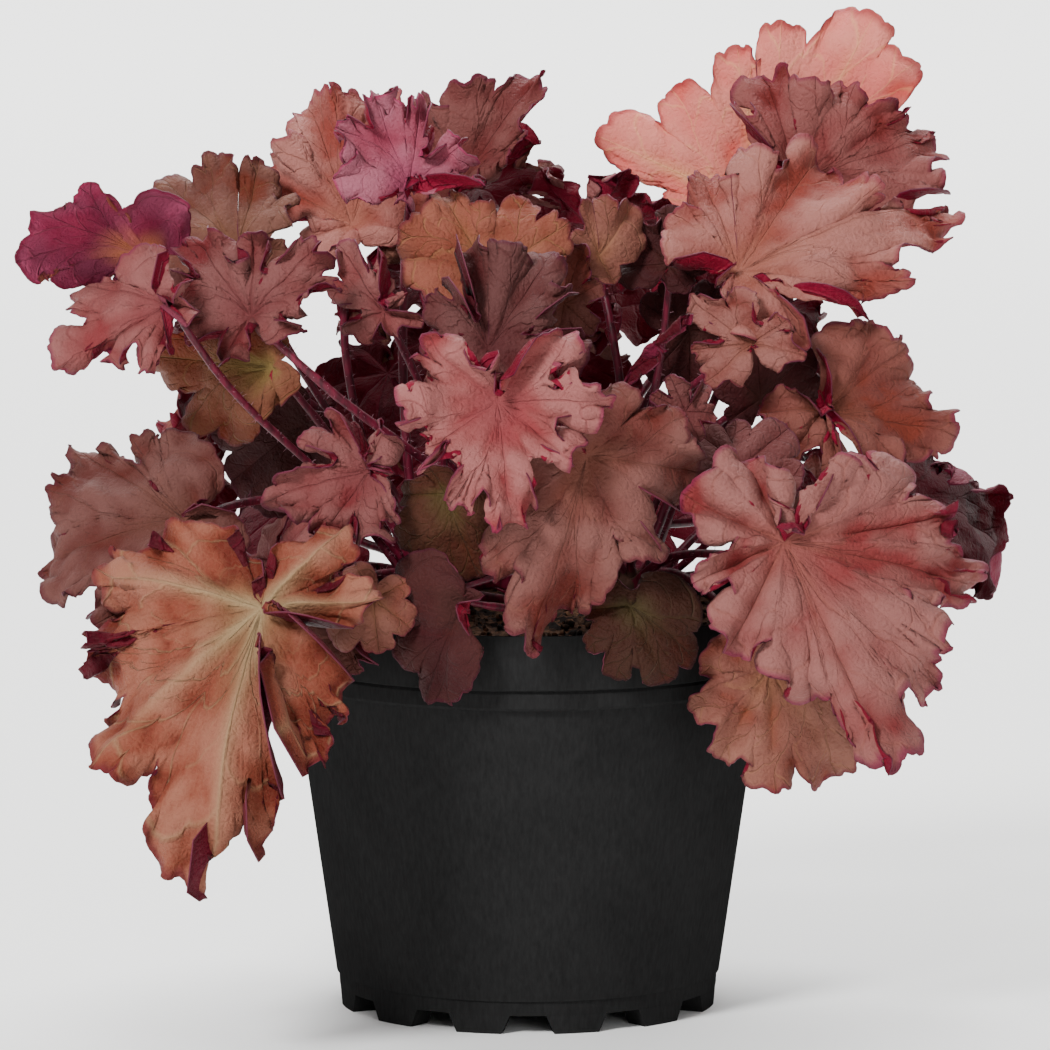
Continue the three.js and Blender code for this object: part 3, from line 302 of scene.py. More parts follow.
def new_material(name):
    """An empty material and its node tree."""
    material = bpy.data.materials.new(name)
    material.use_nodes = True
    material.node_tree.nodes.clear()
    return material, material.node_tree


def object_from(bm, name, materials=(), smooth=True):
    """Turns a bmesh into an object of the scene, and frees it."""
    for face in bm.faces:
        face.smooth = smooth
    mesh = bpy.data.meshes.new(name)
    bm.to_mesh(mesh)
    bm.free()
    for material in materials:
        mesh.materials.append(material)
    piece = bpy.data.objects.new(name, mesh)
    bpy.context.scene.collection.objects.link(piece)
    return piece


def applied(*holders):
    """The first object's mesh with its modifiers applied, as a bmesh, with all removed."""
    graph = bpy.context.evaluated_depsgraph_get()
    mesh = bpy.data.meshes.new_from_object(holders[0].evaluated_get(graph))
    bm = bmesh.new()
    bm.from_mesh(mesh)
    bpy.data.meshes.remove(mesh)
    for holder in holders:
        bpy.data.objects.remove(holder)
    return bm


def join(bm, part, material=0):
    """Moves a part's mesh into another, with its faces on one material slot."""
    for face in part.faces:
        face.material_index = material
    mesh = bpy.data.meshes.new("part")
    part.to_mesh(mesh)
    part.free()
    bm.from_mesh(mesh)
    bpy.data.meshes.remove(mesh)


def spin_profile(bm, profile, steps, merge):
    """Turns a profile of radii and heights round the pot's axis into a closed skin."""
    verts = [bm.verts.new((radius, 0, height)) for radius, height in profile]
    edges = [bm.edges.new(pair) for pair in zip(verts, verts[1:])]
    bmesh.ops.spin(bm, geom=verts + edges, axis=(0, 0, 1), cent=(0, 0, 0), angle=FULL_TURN,
                   steps=steps, use_merge=True)
    bmesh.ops.remove_doubles(bm, verts=bm.verts, dist=merge)
    bmesh.ops.recalc_face_normals(bm, faces=bm.faces)


def stand_for(piece, node):
    """Says what the piece rides on, and hides the coarse part that it stands for."""
    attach(piece, ROOT)
    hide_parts(node)


def lerp(a, b, share):
    return a + (b - a) * share


def smooth_step(low, high, value):
    share = min(1.0, max(0.0, (value - low) / (high - low)))
    return share * share * (3 - 2 * share)


def round_the_axis(radius, azimuth, height):
    return Vector((radius * math.cos(azimuth), radius * math.sin(azimuth), height))


def random_axis(draws):
    return Vector([draws.uniform(-1, 1) for _ in range(3)]).normalized()


# ---------------------------------------------------------------- settings
class HeucheraLeafSettings(bpy.types.PropertyGroup):
    """Sizes and colours of the leaves."""
    thickness: bpy.props.FloatProperty(
        name="Blade thickness", description="Thickness of the fine blades",
        default=0.00045, min=0.0002, max=0.001, unit="LENGTH")
    frill: bpy.props.FloatProperty(
        name="Frill", description="How strongly the margins are frilled",
        default=1.0, min=0.0, max=2.0, subtype="FACTOR")
    crumple: bpy.props.FloatProperty(
        name="Crumple", description="Height of the lumps between the veins",
        default=0.0015, min=0.0, max=0.003, unit="LENGTH")
    detail: bpy.props.FloatProperty(
        name="Detail", description="Density of the blades' mesh",
        default=1.0, min=0.3, max=1.5, subtype="FACTOR")
    kept: bpy.props.FloatProperty(
        name="Kept", description="Share of the blades' triangles that is kept, least in flat parts",
        default=0.6, min=0.1, max=1.0, subtype="FACTOR")
    margin: bpy.props.FloatVectorProperty(
        name="Margin", description="Colour of the blades' cut edge",
        default=paint("#521028"), size=4, min=0.0, max=1.0, subtype="COLOR")


class HeucheraStalkSettings(bpy.types.PropertyGroup):
    """Sizes and colours of the petioles and their hairs."""
    swelling: bpy.props.FloatProperty(
        name="Swelling", description="How far the rounded petioles swell past the coarse ones",
        default=0.0007, min=0.0, max=0.002, unit="LENGTH")
    hair_length: bpy.props.FloatProperty(
        name="Hair length", description="Length of the hairs on the petioles",
        default=0.0019, min=0.0005, max=0.004, unit="LENGTH")
    hair_density: bpy.props.FloatProperty(
        name="Hair density", description="Hairs on each square millimetre of petiole",
        default=0.12, min=0.0, max=1.0, subtype="UNSIGNED")
    dark_streaks: bpy.props.FloatVectorProperty(
        name="Dark streaks", description="Colour of the petioles' dark streaks",
        default=paint("#380614"), size=4, min=0.0, max=1.0, subtype="COLOR")
    light_streaks: bpy.props.FloatVectorProperty(
        name="Light streaks", description="Colour of the petioles' light streaks",
        default=paint("#6c142e"), size=4, min=0.0, max=1.0, subtype="COLOR")
    hairs: bpy.props.FloatVectorProperty(
        name="Hairs", description="Colour of the hairs",
        default=paint("#a87884"), size=4, min=0.0, max=1.0, subtype="COLOR")


class HeucheraPotSettings(bpy.types.PropertyGroup):
    """Sizes and colours of the pot and its mix."""
    segments: bpy.props.IntProperty(
        name="Segments", description="Steps round the pot",
        default=180, min=48, max=360, subtype="UNSIGNED")
    edge: bpy.props.FloatProperty(
        name="Edge radius", description="Rounding of the moulded edges",
        default=0.0006, min=0.0001, max=0.002, unit="LENGTH")
    crumbs: bpy.props.IntProperty(
        name="Crumbs", description="Loose crumbs on the potting mix",
        default=1100, min=0, max=3000, subtype="UNSIGNED")
    plastic: bpy.props.FloatVectorProperty(
        name="Plastic", description="Colour of the pot",
        default=paint("#1b1b1b"), size=4, min=0.0, max=1.0, subtype="COLOR")
    dust: bpy.props.FloatVectorProperty(
        name="Dust", description="Colour of its dull scuffs and dust",
        default=paint("#262626"), size=4, min=0.0, max=1.0, subtype="COLOR")
    peat: bpy.props.FloatVectorProperty(
        name="Peat", description="Colour of the potting mix",
        default=paint("#150c08"), size=4, min=0.0, max=1.0, subtype="COLOR")
    fibres: bpy.props.FloatVectorProperty(
        name="Fibres", description="Colour of its lighter fibres",
        default=paint("#6b4a35"), size=4, min=0.0, max=1.0, subtype="COLOR")


class HeucheraStageSettings(bpy.types.PropertyGroup):
    """Camera, light and floor."""
    distance: bpy.props.FloatProperty(
        name="Camera distance", description="Way from the pot's axis to the camera",
        default=2.8, min=0.5, max=10.0, unit="LENGTH")
    lens: bpy.props.FloatProperty(
        name="Lens", description="Focal length", default=284.8, min=20.0, unit="CAMERA")
    key_power: bpy.props.FloatProperty(
        name="Key light", description="Power of the soft key light", default=95.0, unit="POWER")
    fill_power: bpy.props.FloatProperty(
        name="Fill light", description="Power of the fill light", default=14.0, unit="POWER")
    backdrop_power: bpy.props.FloatProperty(
        name="Backdrop light", description="Power of the light on the floor behind",
        default=640.0, unit="POWER")
    floor: bpy.props.FloatVectorProperty(
        name="Floor", description="Colour of the floor",
        default=paint("#fbfbfa"), size=4, min=0.0, max=1.0, subtype="COLOR")


# ---------------------------------------------------------------- leaf frames and outlines
def direction(azimuth, elevation):
    flat = math.cos(math.radians(elevation))
    return round_the_axis(flat, math.radians(azimuth), math.sin(math.radians(elevation)))


def random_from(seed):
    """The same draws as in the source, by a linear congruential generator."""
    state = seed

    def draw():
        nonlocal state
        state = (state * 1664525 + 1013904223) % 2 ** 32
        return state / 2 ** 32
    return draw


class LeafFrame:
    """The petiole's end, the upper face's normal, and the axes in the blade."""

    def __init__(self, at, azimuth, elevation):
        self.at = Vector(at)
        self.normal = direction(azimuth, elevation)
        down = Vector((0, 0, -1))
        self.down = (down - self.normal * down.dot(self.normal)).normalized()
        self.right = self.normal.cross(self.down)

    def point(self, along, above, angle):
        """Way from the petiole's end to a point of the blade."""
        flat = self.down * math.cos(angle) + self.right * math.sin(angle)
        return flat * along + self.normal * above


def slope_at(habit, share, angle, wave):
    """Slope of the blade against its plane, in degrees."""
    outwards = habit["droop"] + habit["tip"] * math.cos(angle) + habit["fold"] * math.cos(2 * angle)
    steady = habit["cup"] + share * outwards
    pleats = share * habit["pleat"] * math.cos(FULL_TURN * wave)
    uneven = 1 - UNEVEN + UNEVEN * math.sin(2 * angle + 3 * habit["phase"])
    swing = math.sin(FULL_TURN * habit["waves"] * wave + habit["phase"])
    ruffles = share ** 3 * habit["ruffle"] * uneven * swing
    return min(SLOPE_LIMIT, max(-SLOPE_LIMIT, steady + pleats + ruffles))


def bend_along(habit, share, angle, wave):
    """How far along its plane and above it the blade has come, as shares of the reach."""
    along = above = 0.0
    for step in range(BEND_STEPS):
        slope = math.radians(slope_at(habit, share * (step + 0.5) / BEND_STEPS, angle, wave))
        along += math.cos(slope) * share / BEND_STEPS
        above += math.sin(slope) * share / BEND_STEPS
    return along, above


def lobes_from_front(leaf_frame, tips, habit):
    """Lobes whose tips lie at these places in the front elevation once the blade is bent."""
    normal = leaf_frame.normal
    flat = []
    for x, z, *cut in tips:
        tip = Vector((x, -(x * normal.x + z * normal.z) / normal.y, z))
        angle = math.atan2(tip.dot(leaf_frame.right), tip.dot(leaf_frame.down))
        flat.append((angle, tip.length, x, z, cut[0] if cut else None))
    flat.sort(key=lambda lobe: lobe[0])
    lobes = []
    for index, (angle, length, x, z, cut) in enumerate(flat):
        target = math.hypot(x, z)
        best = None
        for step in range(-AIM_STEPS, AIM_STEPS + 1):
            turned = angle + step * AIM_STEP
            tip = leaf_frame.point(*bend_along(habit, 1, turned, index), turned)
            seen = math.hypot(tip.x, tip.z)
            miss = 1 - (tip.x * x + tip.z * z) / (seen * target)
            if best is None or miss < best[0]:
                best = (miss, turned, min(target / seen, length * MOST_STRETCH))
        lobes.append((best[1], best[2], cut))
    return sorted(lobes, key=lambda lobe: lobe[0])


def around_one(draw, spread):
    """A factor drawn evenly from 1 - spread to 1 + spread."""
    return 1 - spread + 2 * spread * draw()


def lobes_by_rule(reach, turn, draw):
    """Seven lobes fanned about the tip, shorter towards the petiole."""
    lobes = []
    for side in range(-3, 4):
        wander = (draw() - 0.5) * LOBE_WANDER
        angle = math.radians(side * LOBE_PITCH + turn + wander)
        length = reach * LOBE_SHRINK[abs(side)] * around_one(draw, LOBE_SPREAD)
        lobes.append((math.atan2(math.sin(angle), math.cos(angle)), length, None))
    return sorted(lobes, key=lambda lobe: lobe[0])


def with_notches(lobes, ratio):
    """Gives each lobe its angle, its length, and the notches before and after it.

    A notch is its angle, its reach, and the reach that the blade is bent by across it.
    """
    count = len(lobes)
    spaces = []
    for index, (angle, _, _) in enumerate(lobes):
        wrap = FULL_TURN if index == count - 1 else 0
        spaces.append(lobes[(index + 1) % count][0] + wrap - angle)
    sinus = spaces.index(max(spaces))
    notches = []
    for index, (angle, length, cut) in enumerate(lobes):
        following = lobes[(index + 1) % count][1]
        apart = min(1, spaces[index] / WIDE_SPACE) ** 2
        depth = 1 - (1 - ratio) * apart if cut is None else cut
        reach = SINUS_REACH if index == sinus else min(length, following) * depth
        longer = 1 if index == sinus else (length / following) ** LENGTH_WEIGHT
        share = min(1 - LEAST_SHARE, max(LEAST_SHARE, longer / (1 + longer)))
        notches.append((angle + spaces[index] * share, reach, (length + following) / 2))
    result = []
    for index, (angle, length, _) in enumerate(lobes):
        before, after = notches[index - 1], notches[index]
        wrap = FULL_TURN if index == 0 else 0
        result.append((angle, length, (before[0] - wrap, *before[1:]), after))
    return result


def surface_reach(lobe, place):
    """Reach that the surface is bent by, which passes over the notches from tip to tip."""
    span = (lobe[2] if place < 0 else lobe[3])[2]
    return lerp(lobe[1], span, smooth_step(0, 1, abs(place)))


def outline_at(lobe, place, tooth):
    """Angle and reach of the margin at a place from -1 to 1 across a lobe."""
    angle, length, before, after = lobe
    notch_angle, notch_reach, _ = before if place < 0 else after
    depth = 1 - notch_reach / length
    square = max(LEAST_SQUARE, MOST_SQUARE - TAPER * max(0, depth - SHALLOW))
    size = abs(place)
    smooth = length + (notch_reach - length) * size ** square
    dip = 1 - math.sqrt(abs(math.cos(1.5 * math.pi * place)))
    cut = tooth * dip * (1 - size ** FADE_POWER)
    return angle + size * (notch_angle - angle), smooth * (1 - cut)


# ---------------------------------------------------------------- leaves
SEAT_PLACES = (-1, -0.74, -0.36, 0, 0.36, 0.74)   # of the solid's points across a lobe
SEAT_SHARES = (0.5, 0.64, 0.8, 1.0)               # and outwards, for those that bound it


class Leaf:
    """All that one blade is drawn from."""

    def __init__(self, name, habit_name, seed, leaf_frame):
        self.name = name
        self.frame = leaf_frame
        self.seed = seed
        self.noise_spot = Vector((0, 0, seed * NOISE_STRIDE))
        self.habit = dict(HABITS[habit_name], phase=(seed * PHASE_STEP) % FULL_TURN)
        self.finery = FINERY[habit_name]

    def round_waves(self, count):
        """Fits a whole number of waves to the margin of so many lobes."""
        self.habit["waves"] = math.floor(self.habit["waves"] * count + 0.5) / count

    def set_lobes(self, lobes):
        """Cuts the notches between the lobes, and notes how large the blade is."""
        self.lobes = with_notches(lobes, self.habit["notch"])
        self.reach = max(lobe[1] for lobe in self.lobes)
        self.size = min(1.0, self.reach / FULL_SIZE_MM)

    def set_veins(self):
        """Finds the lobe whose main vein each lobe's vein leaves; a main lobe has its own."""
        parents = list(range(len(self.lobes)))
        for index, (angle, length, _, _) in enumerate(self.lobes):
            for other in (index - 1, index + 1):
                if 0 <= other < len(self.lobes):
                    near = abs(self.lobes[other][0] - angle) < WIDE_SPACE
                    if near and self.lobes[other][1] > max(length, self.lobes[parents[index]][1]):
                        parents[index] = other
        self.parents = [parents[parent] for parent in parents]
        self.mains = [self.lobes[index][0] for index in sorted(set(self.parents))]

    def seat(self):
        """Moves the blade along its normal to where its solid has settled."""
        corners = [[], [], []]
        for index, lobe in enumerate(self.lobes):
            for place in SEAT_PLACES:
                angle, reach = outline_at(lobe, place, self.habit["tooth"])
                span = surface_reach(lobe, place)
                wave = index + place / 2
                for share in SEAT_SHARES:
                    along, above = bend_along(self.habit, share * reach / span, angle, wave)
                    point = self.frame.at + self.frame.point(span * along, span * above, angle)
                    for axis in range(3):
                        corners[axis].append(point[axis])
        middle = Vector([(min(values) + max(values)) / 2 for values in corners])
        low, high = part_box(self.name)
        moved = (Vector(low) + Vector(high)) / 2 / MM - middle
        self.frame.at += self.frame.normal * moved.dot(self.frame.normal)


def front_leaf(index, row):
    name, habit_name, at, look, tips = row
    leaf = Leaf(name, habit_name, index + 1, LeafFrame(at, *look))
    leaf.round_waves(len(tips))
    leaf.set_lobes(lobes_from_front(leaf.frame, tips, leaf.habit))
    return leaf


def back_leaf(number, tier, index):
    """One leaf of a tier, drawn in the same order as in the source."""
    seed = BACK_SEED + number
    draw = random_from(seed * SEED_STRIDE)
    draw()
    azimuth = tier.first + (tier.last - tier.first) * index / (tier.leaves - 1)
    foot = direction(azimuth, 0) * (tier.distance * around_one(draw, DISTANCE_SPREAD))
    at = (foot.x, foot.y, tier.height + HEIGHT_WANDER * (draw() - 0.5))
    leaf_frame = LeafFrame(at, azimuth, tier.elevation + LOOK_WANDER * (draw() - 0.5))
    habit_name = tier.habits[index % len(tier.habits)]
    leaf = Leaf(f"leaf_back_{number + 1:02d}", habit_name, seed, leaf_frame)
    length = tier.reach * around_one(draw, REACH_SPREAD)
    lobes = lobes_by_rule(length, BLADE_TURN * (draw() - 0.5), draw)
    leaf.round_waves(len(lobes))
    leaf.set_lobes(lobes)
    return leaf


def all_leaves():
    leaves = [front_leaf(index, row) for index, row in enumerate(FRONT_LEAVES)]
    for tier in BACK_TIERS:
        for index in range(tier.leaves):
            leaves.append(back_leaf(len(leaves) - len(FRONT_LEAVES), tier, index))
    for leaf in leaves:
        leaf.seat()
        leaf.set_veins()
    return leaves


# ---------------------------------------------------------------- fine blades
ARC_SAMPLES = 24             # in a lobe, to measure its margin by
TOOTH_MM = 6.5               # from one small tooth to the next
FULL_SIZE_MM = 45.0          # reach from which a blade's relief is at its full height
FRILL_WIDTH = 0.3            # of the reach that the margin's waves take
WIDEST_FRILL_MM = 17.0
CRIMPED_FRILL = 50           # swing from which every other notch of a leaf is curled over
CRIMP = 0.07                 # width of those curls, of the reach
MEAN_SWING, SWING_SPREAD = 0.7, 1.3    # of the margin's waves, and how far it comes and goes
LEAST_SWING, MOST_SWING = 0.1, 1.2
CURL_SLOPE = 158.0           # of the part that is curled over, in degrees
MOST_CURLED = 0.36           # of a ray that is curled over
BEND_MM = 4.0                # that the blade takes to curl over, of a large leaf
LUMP_MM = 17.0               # broad lumps of a blade
QUILT_MM = 6.0               # swellings between the small veins
CREASE_MM = 11.0             # creases that run across the swellings
FOLD_HALF = math.radians(19)  # from a main vein to the ridge beside it
HEIGHT_MM = 2.5              # off the smooth blade where the colour is at its palest, under the painted highlight of the crests
BESIDE_MM = 7.0              # from a main vein to where the blade no longer takes its colour
BESIDE_WIDE, BESIDE_LESS = 1.1, 0.6    # shares of that at the petiole, and lost on the way out
MARGIN_STEP_MM = 1.3         # between two points of the margin
RINGS = ((62, 22), (26, 18), (0, 12))   # reach from which a blade has this many rings
RING_POWER = 1.5             # how much closer the rings lie towards the margin
LUMP, QUILT, CREASE = 2.0, 0.7, 1.4     # heights of the relief, of the crumple
CREASE_POWER = 0.7           # how sharp the creases are, sharper as it is less
LOOSE_MM = 13.0              # loose lumps of the margin
RIDGE_LEVEL = 0.6            # of a fold's height that lies below the smooth blade
FOLD_PAINTED_LIGHT = 0.4              # share of a fold that tells in the colour, as painted shade in its hollows and painted highlight on its ridges
LUMPS_IN = (0.0, 0.3)        # shares of the way out between which the lumps come in
FOLDS_IN = (0.05, 0.6)       # and the folds
LOOSE_IN, LOOSE_POWER = (0.5, 1.0), 1.4   # and the margin's loose lumps, and how late
TEETH_IN = (0.6, 1.0)        # and the teeth
CRIMPS_IN = (0.5, 0.9)       # nearness to a notch between which its curl comes in
VEINS_PART = (0.12, 0.85)    # shares of the way out between which the veins part
VEINS_PARTED = 0.1           # of their way to the tips that they have parted before
SHADES_DRAWN = (0.92, 1.08)  # range of the shade that is drawn for each leaf
NOISE_STRIDE = 3.7           # between the noise of two leaves
BLADE_MERGE = 0.00002        # points this close are one, in metres

# Attributes of a blade that its finish reads: the height of the relief, which places the
# painted shade of the troughs and the painted highlight of the crests, how near a main vein
# is, and how light the whole blade is, partly for its age and partly as painted light and shade.
BLADE_LAYERS = ("height", "beside", "shade")


class Ray:
    """A line of the blade from the petiole to one place on the margin."""

    def __init__(self, leaf, index, place):
        lobe = leaf.lobes[index]
        self.angle, self.reach = outline_at(lobe, place, leaf.habit["tooth"])
        self.span = surface_reach(lobe, place)
        self.wave = index + place / 2
        self.notch = abs(place)
        self.curls = []      # how strongly the blade is curled here, and how wide
        across = leaf.frame.point(1, 0, self.angle)
        clock = math.degrees(math.atan2(across.z, across.x))
        for middle, spread, width in CURLS.get(leaf.name, ()):
            away = abs((clock - middle + 180) % 360 - 180)
            self.curls.append((1 - smooth_step(spread / 2, spread, away), width))
        odd = (index + (place > 0) + leaf.seed) % 2
        if odd and leaf.finery["frill"] > CRIMPED_FRILL:
            self.curls.append((smooth_step(*CRIMPS_IN, self.notch), CRIMP * self.reach))

    @property
    def flat(self):
        """The margin's point before the blade is bent, from the petiole's end."""
        return Vector((math.cos(self.angle), math.sin(self.angle))) * self.reach


def walk(rays):
    """How far along the margin each ray ends."""
    walked = [0.0]
    for one, two in zip(rays, rays[1:]):
        walked.append(walked[-1] + (two.flat - one.flat).length)
    return walked


def rays_of(leaf, step):
    """Rays to places spaced evenly along the margin, from the first notch round to it."""
    rays = []
    for index in range(len(leaf.lobes)):
        samples = [Ray(leaf, index, 2 * number / ARC_SAMPLES - 1)
                   for number in range(ARC_SAMPLES + 1)]
        walked = walk(samples)
        count = max(8, round(walked[-1] / step))
        for number in range(count):
            target = walked[-1] * number / count
            found = bisect.bisect_right(walked, target) - 1
            part = (target - walked[found]) / (walked[found + 1] - walked[found])
            rays.append(Ray(leaf, index, 2 * (found + part) / ARC_SAMPLES - 1))
    rays.append(Ray(leaf, len(leaf.lobes) - 1, 1))
    return rays


def shape_margin(leaf, rays):
    """Gives each ray the small tooth cut across the margin at its end, and its frill."""
    runs = walk(rays)
    teeth = max(8, round(runs[-1] / TOOTH_MM))
    frills = max(3, round(runs[-1] / leaf.finery["pitch"]))
    for number, ray in enumerate(rays):
        before = rays[number - 1 if number else -2]
        after = rays[number + 1 if number < len(rays) - 1 else 1]
        along = (after.flat - before.flat).normalized()
        outwards = ray.flat.normalized()
        turn = FULL_TURN * runs[number] / runs[-1]
        spot = Vector((math.cos(turn), math.sin(turn), 0)) * frills / 5
        loose = noise.noise(spot + leaf.noise_spot)
        gap = 1 - math.sqrt(abs(math.cos(teeth * turn / 2)))
        bite = leaf.finery["teeth"] * leaf.size * gap * (1 - ray.notch ** FADE_POWER) * (1 + loose)
        cut = Vector((-along.y, along.x)) * bite
        ray.out = cut.dot(outwards)
        ray.side = cut.dot(Vector((-outwards.y, outwards.x)))
        strength = min(MOST_SWING, max(LEAST_SWING, MEAN_SWING + SWING_SPREAD * loose))
        ray.swing = math.sin(frills * turn + 3 * loose) * strength


def blade_points(leaf, ray, shares, settings):
    """Points of the blade along one ray, from the petiole out to the margin."""
    width = min(WIDEST_FRILL_MM, FRILL_WIDTH * leaf.reach)
    sideways = leaf.frame.point(1, 0, ray.angle + math.pi / 2)
    points = [leaf.frame.at.copy()]
    along = above = previous = 0.0
    for share in shares[1:]:
        weight = smooth_step(*TEETH_IN, share)
        radius = ray.reach * share + ray.out * weight
        middle = (previous + radius) / 2
        edge = ray.reach - middle
        slope = slope_at(leaf.habit, middle / ray.span, ray.angle, ray.wave)
        swing = settings.frill * leaf.finery["frill"] * ray.swing
        slope += swing * (1 - smooth_step(0, width, edge))
        for strength, curl_width in ray.curls:
            curled = min(curl_width, MOST_CURLED * ray.reach)
            bend = 1 - smooth_step(curled, curled + min(BEND_MM, 0.1 * leaf.reach), edge)
            slope += (CURL_SLOPE - slope) * strength * bend
        along += math.cos(math.radians(slope)) * (radius - previous)
        above += math.sin(math.radians(slope)) * (radius - previous)
        point = leaf.frame.at + leaf.frame.point(along, above, ray.angle)
        points.append(point + sideways * (ray.side * weight))
        previous = radius
    return points


def relief(leaf, ray, share, settings):
    """How far the fine blade stands off the smooth one by its lumps and by its folds, in mm."""
    flat = Vector((*ray.flat, 0)) * share
    lumps = LUMP * noise.noise(flat / LUMP_MM + leaf.noise_spot)
    quilt = QUILT * noise.noise(flat / QUILT_MM + leaf.noise_spot)
    creases = CREASE * abs(noise.noise(flat / CREASE_MM - leaf.noise_spot)) ** CREASE_POWER
    body = smooth_step(*LUMPS_IN, share) * leaf.size
    body = body * leaf.finery["crumple"] * settings.crumple / MM
    away = min(abs(ray.angle - main) for main in leaf.mains)
    ridge = math.sin(min(1, away / FOLD_HALF) * math.pi / 2) - RIDGE_LEVEL
    fold = leaf.finery["fold"] * leaf.size * ridge * smooth_step(*FOLDS_IN, share)
    edge = smooth_step(*LOOSE_IN, share) ** LOOSE_POWER * settings.frill
    loose = edge * leaf.finery["curl"] * leaf.size * noise.noise(flat / LOOSE_MM - leaf.noise_spot)
    return body * (lumps + quilt + creases) + loose, fold * FOLDS.get(leaf.name, 1)


def vein_place(leaf, rays, angle, share):
    """Place among the lobes' veins, which leave the main veins and reach the lobes' tips."""
    spread = lerp(VEINS_PARTED, 1, smooth_step(*VEINS_PART, share))
    veins = [rays[0].angle]
    for lobe, parent in zip(leaf.lobes, leaf.parents):
        veins.append(lerp(leaf.lobes[parent][0], lobe[0], spread))
    veins.append(rays[-1].angle)
    found = min(len(veins) - 1, max(1, bisect.bisect_right(veins, angle)))
    part = (angle - veins[found - 1]) / max(1e-6, veins[found] - veins[found - 1])
    start, end = max(0, found - 1.5), min(len(leaf.lobes), found - 0.5)
    return lerp(start, end, part)


def blade_mesh(leaf, settings):
    """A grid bent into the blade: across it goes round the petiole, up it goes outwards."""
    rays = rays_of(leaf, MARGIN_STEP_MM / settings.detail)
    shape_margin(leaf, rays)
    full = next(count for reach, count in RINGS if leaf.reach > reach)
    rings = round(full * settings.detail)
    shares = [1 - (1 - ring / rings) ** RING_POWER for ring in range(rings + 1)]
    columns = len(rays) - 1
    bm = bmesh.new()
    bmesh.ops.create_grid(bm, x_segments=columns, y_segments=rings, size=0.5)
    lobes_uv = bm.loops.layers.uv.new("lobes")
    relief_for_painted_light, beside, depth_and_painted_light_layer = [bm.verts.layers.float.new(layer) for layer in BLADE_LAYERS]
    # the blade's lightness: partly the depth of colour of its age, partly painted shade or painted light for
    # how lit the leaf is
    shade = DEPTH_AND_PAINTED_LIGHT.get(leaf.name, 1.0) * random.Random(leaf.name).uniform(*SHADES_DRAWN)
    places = {}
    for vertex in bm.verts:
        places[vertex] = (round((vertex.co.x + 0.5) * columns), round((vertex.co.y + 0.5) * rings))
    for face in bm.faces:
        for loop in face.loops:
            column, ring = places[loop.vert]
            lobe_place = vein_place(leaf, rays, rays[column].angle, shares[ring])
            loop[lobes_uv].uv = (lobe_place, shares[ring])
    table = [blade_points(leaf, ray, shares, settings) for ray in rays]
    for vertex, (column, ring) in places.items():
        vertex.co = table[column][ring]
    bmesh.ops.reverse_faces(bm, faces=bm.faces)
    bm.normal_update()
    moves = []
    for vertex, (column, ring) in places.items():
        ray, share = rays[column], shares[ring]
        lumps, fold = relief(leaf, ray, share, settings)
        # the relief's height, which places the painted shade of the troughs and the painted highlight of the
        # crests
        vertex[relief_for_painted_light] = (lumps + FOLD_PAINTED_LIGHT * fold) / HEIGHT_MM
        away = min(abs(ray.angle - main) for main in leaf.mains)
        away *= ray.reach * share / (BESIDE_MM * (BESIDE_WIDE - BESIDE_LESS * share))
        vertex[beside] = (1 - min(1, away)) ** 2
        vertex[depth_and_painted_light_layer] = shade
        on_seam = ring == 0 or column in (0, columns)
        normal = leaf.frame.normal if on_seam else vertex.normal
        moves.append((vertex, normal * (lumps + fold)))
    for vertex, move in moves:
        vertex.co = (vertex.co + move) * MM
    bmesh.ops.remove_doubles(bm, verts=bm.verts, dist=BLADE_MERGE)
    return bm


# ---------------------------------------------------------------- leaf finishes
# Colours of each finish: the face, its troughs, darker as a painted shade in the hollows of
# the relief and partly a warmer colour, the greyish bloom of fine hairs on its ridges, lighter
# as a painted highlight on the crests, its veins, its middle round the petiole, and its margin.
# Then how strongly its veins show, how strongly the blade beside the main veins takes their
# colour, and how far the veins stand out, below 0 where they lie sunken.
Tones = namedtuple("Tones", "face trough bloom vein middle margin veins glow rib",
                   defaults=(-0.35,))
FINISHES = {
    "leaf_bronze": Tones("#6b352f", "#68271f", "#84564f", "#825043", "#6f3e30", "#5e1a2a", 0.35, 0.2),
    "leaf_rose": Tones("#6f3635", "#6c2427", "#7f4f4c", "#682c2e", "#683032", "#641434", 0.35, 0.15),
    "leaf_orange": Tones("#86402e", "#641e12", "#a46a56", "#b49c74", "#7a5a38", "#6a1c28", 0.3, 0.6, 0.5),
    # leaf_pale is for leaves lit from behind: its light face and pale yellow veins are painted light shining
    # through the blade.
    "leaf_pale": Tones("#cf6860", "#c44c44", "#d48072", "#e2b478", "#d69870", "#8c2830", 0.28, 0.85, 0.12),
    "leaf_umber": Tones("#502621", "#582117", "#643a33", "#64362a", "#502a1c", "#521228", 0.3, 0.15),
    "leaf_tan": Tones("#693a31", "#6f2c1b", "#85584b", "#8a6044", "#704330", "#5e1a2c", 0.35, 0.3),
    "leaf_olive": Tones("#58281a", "#622212", "#5e3828", "#6a5c34", "#5c5028", "#4c141e", 0.3, 0.35),
    "leaf_wine": Tones("#780c2e", "#7c1030", "#822444", "#92304c", "#7c1436", "#7c1238", 0.4, 0.2),
    # leaf_dark is for the leaves deep inside the plant: nearly black maroon, their own dark colour deepened
    # by painted shade for the rosette's shaded inside.
    "leaf_dark": Tones("#341012", "#3e0e10", "#3e1c1a", "#3e1c18", "#341a14", "#3c0c1c", 0.3, 0.1),
}
